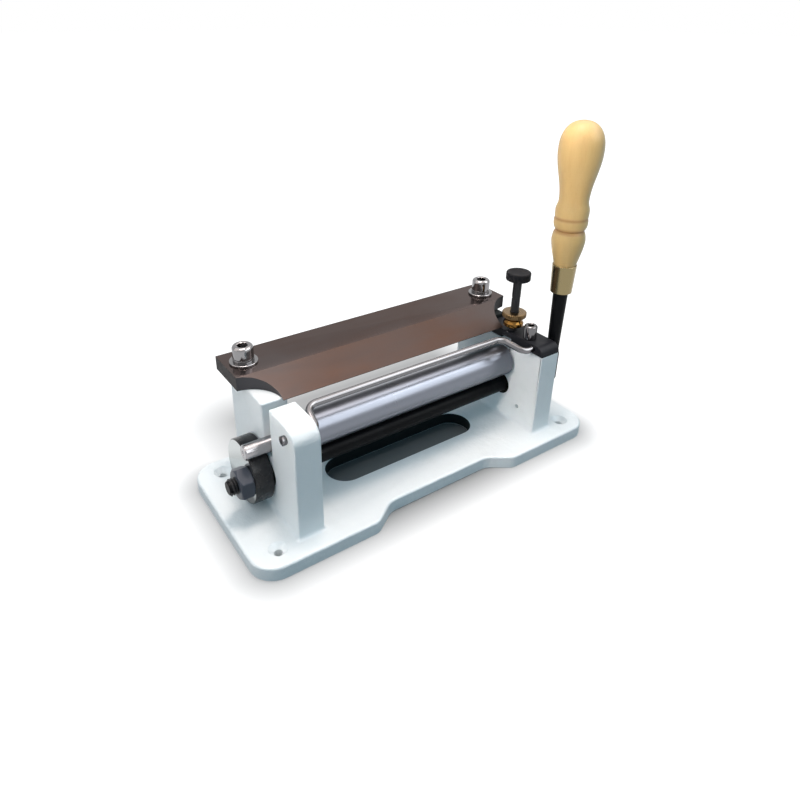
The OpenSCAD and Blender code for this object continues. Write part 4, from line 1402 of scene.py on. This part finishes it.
@dataclass
class StabiliserBar:
    """Bent polished rod that holds the leather down."""

    layout: Layout
    radius: float = 2.2
    reach: float = 15.9
    tilt: float = 19.3
    left_end: float = -98.2
    right_end: float = 92.2
    left_corner: float = -80.0
    left_slant: float = 1.8
    right_corner: float = 75.0
    right_slant: float = 7.5
    bend: float = 7.0
    tight_bend: float = 4.0

    def build(self) -> Piece:
        """Draws the rod out from its left end, bend by bend.

        Returns:
            The bar.
        """
        place = self.layout
        shell = bmesh.new()
        bmesh.ops.create_circle(shell, cap_ends=False, radius=self.radius, segments=32)
        bmesh.ops.transform(shell, matrix=Way.RIGHT.placing((self.left_end, 0, 0)), verts=shell.verts)
        lead = shell.edges[:]
        bmesh.ops.edgeloop_fill(shell, edges=lead)
        lean = math.atan2(self.reach, self.left_slant)
        tight, back = self.tight_bend * math.tan(lean / 2), self.bend * math.tan(lean / 2)
        leg = math.hypot(self.reach, self.left_slant) - tight - back
        lead = self._straight(shell, lead, (self.left_corner - tight - self.left_end, 0))
        lead = self._bend(shell, lead, (self.left_corner - tight, self.tight_bend), lean)
        lead = self._straight(shell, lead, (leg * math.cos(lean), leg * math.sin(lean)))
        top = self.left_corner + self.left_slant + back
        lead = self._bend(shell, lead, (top, self.reach - self.bend), -lean)
        lean = math.atan2(self.reach, self.right_slant)
        back = self.bend * math.tan(lean / 2)
        leg = math.hypot(self.reach, self.right_slant) - 2 * back
        turn = self.right_corner - self.right_slant - back
        lead = self._straight(shell, lead, (turn - top, 0))
        lead = self._bend(shell, lead, (turn, self.reach - self.bend), -lean)
        lead = self._straight(shell, lead, (leg * math.cos(lean), -leg * math.sin(lean)))
        lead = self._bend(shell, lead, (self.right_corner + back, self.bend), lean)
        lead = self._straight(shell, lead, (self.right_end - self.right_corner - back, 0))
        bmesh.ops.edgeloop_fill(shell, edges=lead)
        for face in shell.faces:
            face.smooth = len(face.verts) == 4
        tilted = Way.UP.placing((0, place.pivot_y, place.pivot_z)) @ Matrix.Rotation(math.radians(self.tilt), 4, "X")
        return Workpiece().take(shell, tilted).piece("bent_bar", Body.BAIL, [CHROME_BAR], ["stabiliser_bar"])

    @staticmethod
    def _straight(shell: Shell, lead: Edges, move: Point) -> Edges:
        """Draws the leading ring straight on.

        Args:
            shell: Shell being drawn.
            lead: Edges of the leading ring.
            move: How far it goes in the bar's plane.

        Returns:
            The new leading ring.
        """
        made = bmesh.ops.extrude_edge_only(shell, edges=lead)["geom"]
        bmesh.ops.translate(shell, vec=(*move, 0),
                            verts=[item for item in made if isinstance(item, bmesh.types.BMVert)])
        return [item for item in made if isinstance(item, bmesh.types.BMEdge)]

    @staticmethod
    def _bend(shell: Shell, lead: Edges, centre: Point, angle: float) -> Edges:
        """Draws the leading ring round a bend's centre, to the left by an angle, and gives the new ring."""
        made = bmesh.ops.spin(shell, geom=lead, cent=(*centre, 0), axis=(0, 0, 1), angle=angle, steps=14)["geom_last"]
        return [item for item in made if isinstance(item, bmesh.types.BMEdge)]


@dataclass
class Adjuster:
    """Black bridge cap, its screw, and the thickness stop: stem, knob and brass lock nut.

    The lock nut's profile is radius and height, from its foot round its waist to its rim.
    """

    layout: Layout
    cap_rear: float = 12.0
    cap_nose: float = 6.0
    cap_rim: float = 0.55
    cap_seat_edge: float = 0.3
    cap_top_edge: float = 0.6
    relief: float = 2.0
    pin_edge: float = 0.25
    pin_depth: float = 10.3
    screw_x: float = 87.6
    screw_y: float = -23.0
    head: float = 8.8
    head_height: float = 9.8
    flats: float = 4.0
    thread: float = 5.0
    thread_length: float = 18.0
    stem: float = 2.9
    stem_tip: Point = (0.4, 0.6)
    thread_depth: float = 0.3
    pitch: float = 1.0
    thread_turns: int = 28
    run_out: float = 0.8
    knob: float = 8.15
    knob_z: float = 111.0
    knob_height: float = 5.5
    knob_edge: float = 0.75
    dish: tuple[Point, ...] = ((2.0, 0.0), (2.6, 0.25))
    dish_depth: float = 0.3
    socket: float = 3.5
    play: float = 0.06
    lock_height: float = 10.0
    lock_rim: float = 8.2
    lock_waist: tuple[Point, ...] = ((6.45, 0.0), (6.85, 0.4), (6.85, 2.2), (6.55, 2.7), (5.8, 3.4), (5.5, 4.2),
                                     (5.75, 4.8), (7.3, 6.1), (7.9, 6.6))
    rim_heights: Triple = (7.0, 8.3, 9.5)
    lock_crown: tuple[Point, ...] = ((7.9, 9.85), (7.3, 10.0))
    lock_mouth: Point = (0.5, 0.4)
    dull_height: float = 3.6
    knurls: int = 36
    knurl_depth: float = 0.45

    def build(self) -> list[Piece]:
        """Makes the cap, its screw, the stem, the knob and the lock nut."""
        return [self._cap(), self._cap_screw(), self._stem(), self._knob(), self._lock_nut()]

    def _on_stem(self, height: float = 0.0) -> Matrix:
        """Placing on the stem's axis at one height."""
        return Way.UP.placing((self.layout.stem_x, self.layout.axle_y, height))

    def _cap(self) -> Piece:
        """Bridge cap with a rounded front, hollowed over the fork slot.

        Returns:
            The cap.
        """
        place, seat = self.layout, self.layout.cap_seat
        line = outline([(place.front_y, seat, self.cap_seat_edge), (place.fork_front, seat, 0.0),
                        (place.fork_front, seat + self.relief, 0.0), (place.fork_rear, seat + self.relief, 0.0),
                        (place.fork_rear, seat, 0.0), (self.cap_rear, seat, self.cap_seat_edge),
                        (self.cap_rear, place.cap_top, self.cap_top_edge),
                        (place.front_y, place.cap_top, self.cap_nose)], 10)
        rim = Rim.rounded(self.cap_rim, 3)
        pin = Contour(round_hole((place.pivot_y, place.pivot_z), place.pivot_hole), Rim.rounded(self.pin_edge, 2),
                      pocket=-self.pin_depth)
        shell = slab([Contour(line, rim, rim), pin], place.inner_x, place.outer_x)
        work = Workpiece().take(shell, Way.RIGHT.placing())
        return work.piece("black_bridge_cap", Body.FRAME, [CAP_BLACK], ["bridge_cap"])

    def _cap_screw(self) -> Piece:
        """Small cap screw that holds the bridge cap.

        Returns:
            The screw.
        """
        screw = socket_screw(self.head, self.head_height, self.flats, self.thread, self.thread_length)
        spot = Way.UP.placing((self.screw_x, self.screw_y, self.layout.cap_top))
        return Workpiece().take(screw, spot).piece("cap_screw_polished", Body.FRAME, [CAP_CHROME], ["cap_screw"])

    def _stem(self) -> Piece:
        """Stem with a screw thread below and a plain shank above.

        Returns:
            The stem.
        """
        root, low, top = self.stem - self.thread_depth, self.layout.cap_seat + self.relief, self.knob_z + self.socket
        plain = low + self.thread_turns * self.pitch
        slim, tip = self.stem_tip
        core = turned([(0.0, low), (root - slim, low), (root, low + tip), (root, plain),
                       (self.stem, plain + self.run_out), (self.stem, top), (0.0, top)], 40)
        coil = thread_coil(root, self.stem, self.pitch, self.thread_turns - 1, 28)
        work = Workpiece().take(core, self._on_stem()).take(coil, self._on_stem(low + tip))
        return work.piece("threaded_stem", Body.ADJUSTER, [STEM_BLACK], ["adjuster_stem"])

    def _knob(self) -> Piece:
        """Flat round knob with rounded edges and a shallow dish on top.

        Returns:
            The knob.
        """
        radius, high = self.knob, self.knob_height
        dish = [(radius - inset, high - down) for inset, down in self.dish]
        shell = turned([(0.0, 0.0), (radius, 0.0), (radius, high), *dish, (0.0, high - self.dish_depth)], 72)
        work = Workpiece().take(eased(shell, self.knob_edge, 4), self._on_stem(self.knob_z))
        return work.piece("round_knob", Body.KNOB, [KNOB_BLACK], ["adjuster_knob"])

    def _lock_nut(self) -> Piece:
        """Brass lock nut with a waist and a knurled rim.

        Returns:
            The lock nut.
        """
        bore, rim, high, sides = self.stem + self.play, self.lock_rim, self.lock_height, 4 * self.knurls
        wide, deep = self.lock_mouth
        shell = turned([(bore, 0.0), *self.lock_waist, *[(rim, height) for height in self.rim_heights],
                        *self.lock_crown, (bore + wide, high), (bore, high - deep)], sides, closed=True)
        for vert in shell.verts:
            away = math.hypot(vert.co.x, vert.co.y)
            column = round(math.atan2(vert.co.y, vert.co.x) / math.tau * sides)
            if away > rim - 0.05 and column % 4 < 2:
                drawn_in(vert, 1 - self.knurl_depth / away)
        for face in shell.faces:
            face.material_index = 1 if face.calc_center_median().z > high - self.dull_height else 0
        work = Workpiece().take(shell, self._on_stem(self.layout.lock_z), None)
        return work.piece("knurled_lock_nut", Body.LOCKING, [BRASS_NUT, BRASS_DULL], ["lock_nut"])


@dataclass
class KeptPieces:
    """CAD pieces that keep their own shape and only get a finish."""

    def dress(self) -> None:
        """Gives each of these pieces its finish."""
        finishes = {"roller_bushes": BRONZE, "shaft_bushes": BRONZE, "shaft_keys": AXLE_STEEL,
                    "bar_screw": CHROME_BAR}
        for node, finish in finishes.items():
            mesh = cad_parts[node].data
            mesh.materials.clear()
            mesh.materials.append(finish.material())
            LOG.info("%s: dressed", node)


@dataclass(frozen=True)
class Lamp:
    """Rectangular soft lamp, in metres: where it stands, what it faces, its sides, its power and its spread.

    A card has no diffuse light: it shows only in reflections.
    """

    name: str
    spot: Triple
    aim: Triple
    size: Point
    watts: float
    spread: float = 180.0
    diffuse: bool = True
    glossy: bool = True
    warmth: Triple = (1.0, 0.885, 0.825)

    def hang(self) -> None:
        """Makes the lamp and turns it to what it faces."""
        data = bpy.data.lights.new(self.name, "AREA")
        data.shape = "RECTANGLE"
        data.size, data.size_y = self.size
        data.energy = self.watts
        data.color = self.warmth
        data.spread = math.radians(self.spread)
        lamp = bpy.data.objects.new(self.name, data)
        lamp.location = self.spot
        lamp.rotation_euler = (Vector(self.aim) - Vector(self.spot)).to_track_quat("-Z", "Y").to_euler()
        lamp.visible_diffuse = self.diffuse
        lamp.visible_glossy = self.glossy
        bpy.context.scene.collection.objects.link(lamp)


COOL = (0.95, 0.98, 1.0)
LAMPS = (
    Lamp("ceiling_lamp", (-0.1, 0.15, 1.1), (-0.1, 0.14, 0.0), (2.6, 1.5), watts=15.8),
    Lamp("key_lamp", (0.06, 0.06, 1.35), (0.0, 0.0, 0.03), (0.25, 0.25), watts=7.6),
    Lamp("side_lamp", (-1.4, 0.35, 0.5), (0.0, 0.0, 0.06), (0.9, 0.7), watts=2.2),
    Lamp("grip_lamp", (-0.85, -0.45, 0.45), (0.105, -0.029, 0.215), (0.12, 0.12), watts=0.066, spread=12.0,
         glossy=False),
    Lamp("upright_lamp", (-0.9, -0.15, 0.5), (0.082, -0.03, 0.04), (0.12, 0.12), watts=0.03, spread=13.0,
         glossy=False),
    Lamp("front_card", (0.62, -0.82, 0.86), (0.0, 0.0, 0.06), (1.4, 0.8), watts=11.5, diffuse=False, warmth=COOL),
    Lamp("small_card", (-0.2, 0.04, 1.2), (0.105, -0.029, 0.24), (0.45, 0.45), watts=10.0, diffuse=False),
    Lamp("roof_card", (0.76, -0.27, 1.2), (0.0, 0.0, 0.06), (0.8, 0.6), watts=5.2, diffuse=False, warmth=COOL),
)


@dataclass(frozen=True)
class Shade:
    """Rectangle of floor where the white glow is held down, in metres: its sides, how far it fades and its own glow.
    Inside it the dark floor stays grey even where lit: painted shade over its real shading.
    """

    across: Point
    along: Point
    fade: float
    glow: float


@dataclass
class Studio:
    """White floor and surroundings, the lamps, the cards that reflections show, and the camera."""

    lens: float = 29.13
    sensor: float = 36.0
    shift: Point = (0.0301, -0.0884)
    eye: Triple = (-214.4, -284.2, 272.5)
    azimuth: float = -34.2
    elevation: float = 26.5
    roll: float = 0.39
    nearest: float = 0.01
    floor_half: float = 8.0
    floor_colour: Triple = (0.2, 0.2, 0.2)
    floor_roughness: float = 0.9
    # The first box darkens the floor round the base; the second, behind the machine, is a painted shadow that no lamp
    # casts there.
    shades: tuple[Shade, ...] = (Shade((-0.112, 0.112), (-0.037, 0.037), 0.036, 0.0),
                                 Shade((-0.07, 0.105), (0.03, 0.096), 0.055, 0.25))
    shade_rim: float = 0.002
    ambient: Triple = (0.115, 0.295, 0.4)

    def build(self) -> None:
        """Sets up floor, world, lamps and camera."""
        self._floor()
        self._world()
        for lamp in LAMPS:
            lamp.hang()
        self._camera()

    @staticmethod
    def _seen(tree: bpy.types.NodeTree) -> Socket:
        """Share that is 1 for what the eye, a reflection or a clear piece sees, and 0 for light itself.

        Args:
            tree: Node tree that uses it.

        Returns:
            The share.
        """
        path = tree.nodes.new("ShaderNodeLightPath")
        share = path.outputs["Is Camera Ray"]
        for name in ("Is Glossy Ray", "Is Transmission Ray"):
            node = tree.nodes.new("ShaderNodeMath")
            node.operation = "MAXIMUM"
            tree.links.new(share, node.inputs[0])
            tree.links.new(path.outputs[name], node.inputs[1])
            share = node.outputs[0]
        return share

    def _floor(self) -> None:
        """Pale floor that shows its real shading, with painted shade round and behind the object, and goes over into
        white away from it.
        """
        sheet = Sheet("pale_floor")
        sheet.set("Base Color", self.floor_colour)
        sheet.set("Roughness", self.floor_roughness)
        sheet.set("Specular IOR Level", 0.0)
        parts = sheet.parts(sheet.place())
        glow = 1.0
        for shade in self.shades:
            squares = []
            for axis, (low, high) in (("X", shade.across), ("Y", shade.along)):
                past = sheet.math("MAXIMUM", sheet.math("SUBTRACT", low, parts[axis]),
                                  sheet.math("SUBTRACT", parts[axis], high))
                squares.append(sheet.math("POWER", sheet.math("MAXIMUM", past, 0.0), 2.0))
            away = sheet.math("SQRT", sheet.math("ADD", *squares))
            lit = sheet.spread(away, (self.shade_rim, shade.fade), (shade.glow, 1.0))
            glow = sheet.math("MINIMUM", lit, glow)
        sheet.set("Emission Color", (1.0, 1.0, 1.0))
        sheet.set("Emission Strength", sheet.math("MULTIPLY", self._seen(sheet.tree), glow))
        shell = bmesh.new()
        bmesh.ops.create_grid(shell, x_segments=1, y_segments=1, size=self.floor_half)
        mesh = bpy.data.meshes.new("floor")
        shell.to_mesh(mesh)
        shell.free()
        mesh.materials.append(sheet.material)
        made = bpy.data.objects.new("floor", mesh)
        bpy.context.scene.collection.objects.link(made)

    def _world(self) -> None:
        """White surroundings to the eye and in reflections, and a faint cool light from all round."""
        world = bpy.data.worlds.new("studio")
        world.use_nodes = True
        tree = world.node_tree
        faint, white = tree.nodes["Background"], tree.nodes.new("ShaderNodeBackground")
        faint.inputs["Color"].default_value = (*self.ambient, 1.0)
        white.inputs["Color"].default_value = (1.0, 1.0, 1.0, 1.0)
        mix = tree.nodes.new("ShaderNodeMixShader")
        for source, target in zip((self._seen(tree), faint.outputs[0], white.outputs[0]), mix.inputs):
            tree.links.new(source, target)
        tree.links.new(mix.outputs[0], tree.nodes["World Output"].inputs["Surface"])
        bpy.context.scene.world = world

    def _camera(self) -> None:
        """Camera where the photograph was taken from."""
        data = bpy.data.cameras.new("camera")
        data.lens = self.lens
        data.sensor_width = self.sensor
        data.shift_x, data.shift_y = self.shift
        data.clip_start = self.nearest
        camera = bpy.data.objects.new("camera", data)
        turn = HERE
        for degrees, axis in ((self.azimuth, "Z"), (90 - self.elevation, "X"), (self.roll, "Z")):
            turn = turn @ Matrix.Rotation(math.radians(degrees), 4, axis)
        camera.matrix_world = Matrix.Translation(Vector(self.eye) * MM) @ turn
        bpy.context.scene.collection.objects.link(camera)
        bpy.context.scene.camera = camera


def main() -> None:
    logging.basicConfig(level=logging.INFO, format="%(name)s: %(message)s")
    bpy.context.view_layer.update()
    for kind in (Casting, BladeSet, RollerSet, CamSet, LeverSet, StabiliserBar, Adjuster):
        kind(PLACES).build()
        LOG.info("%s ready", kind.__name__)
    KeptPieces().dress()
    Studio().build()
    bpy.context.scene.view_settings.view_transform = "Standard"


if __name__ == "__main__":
    main()
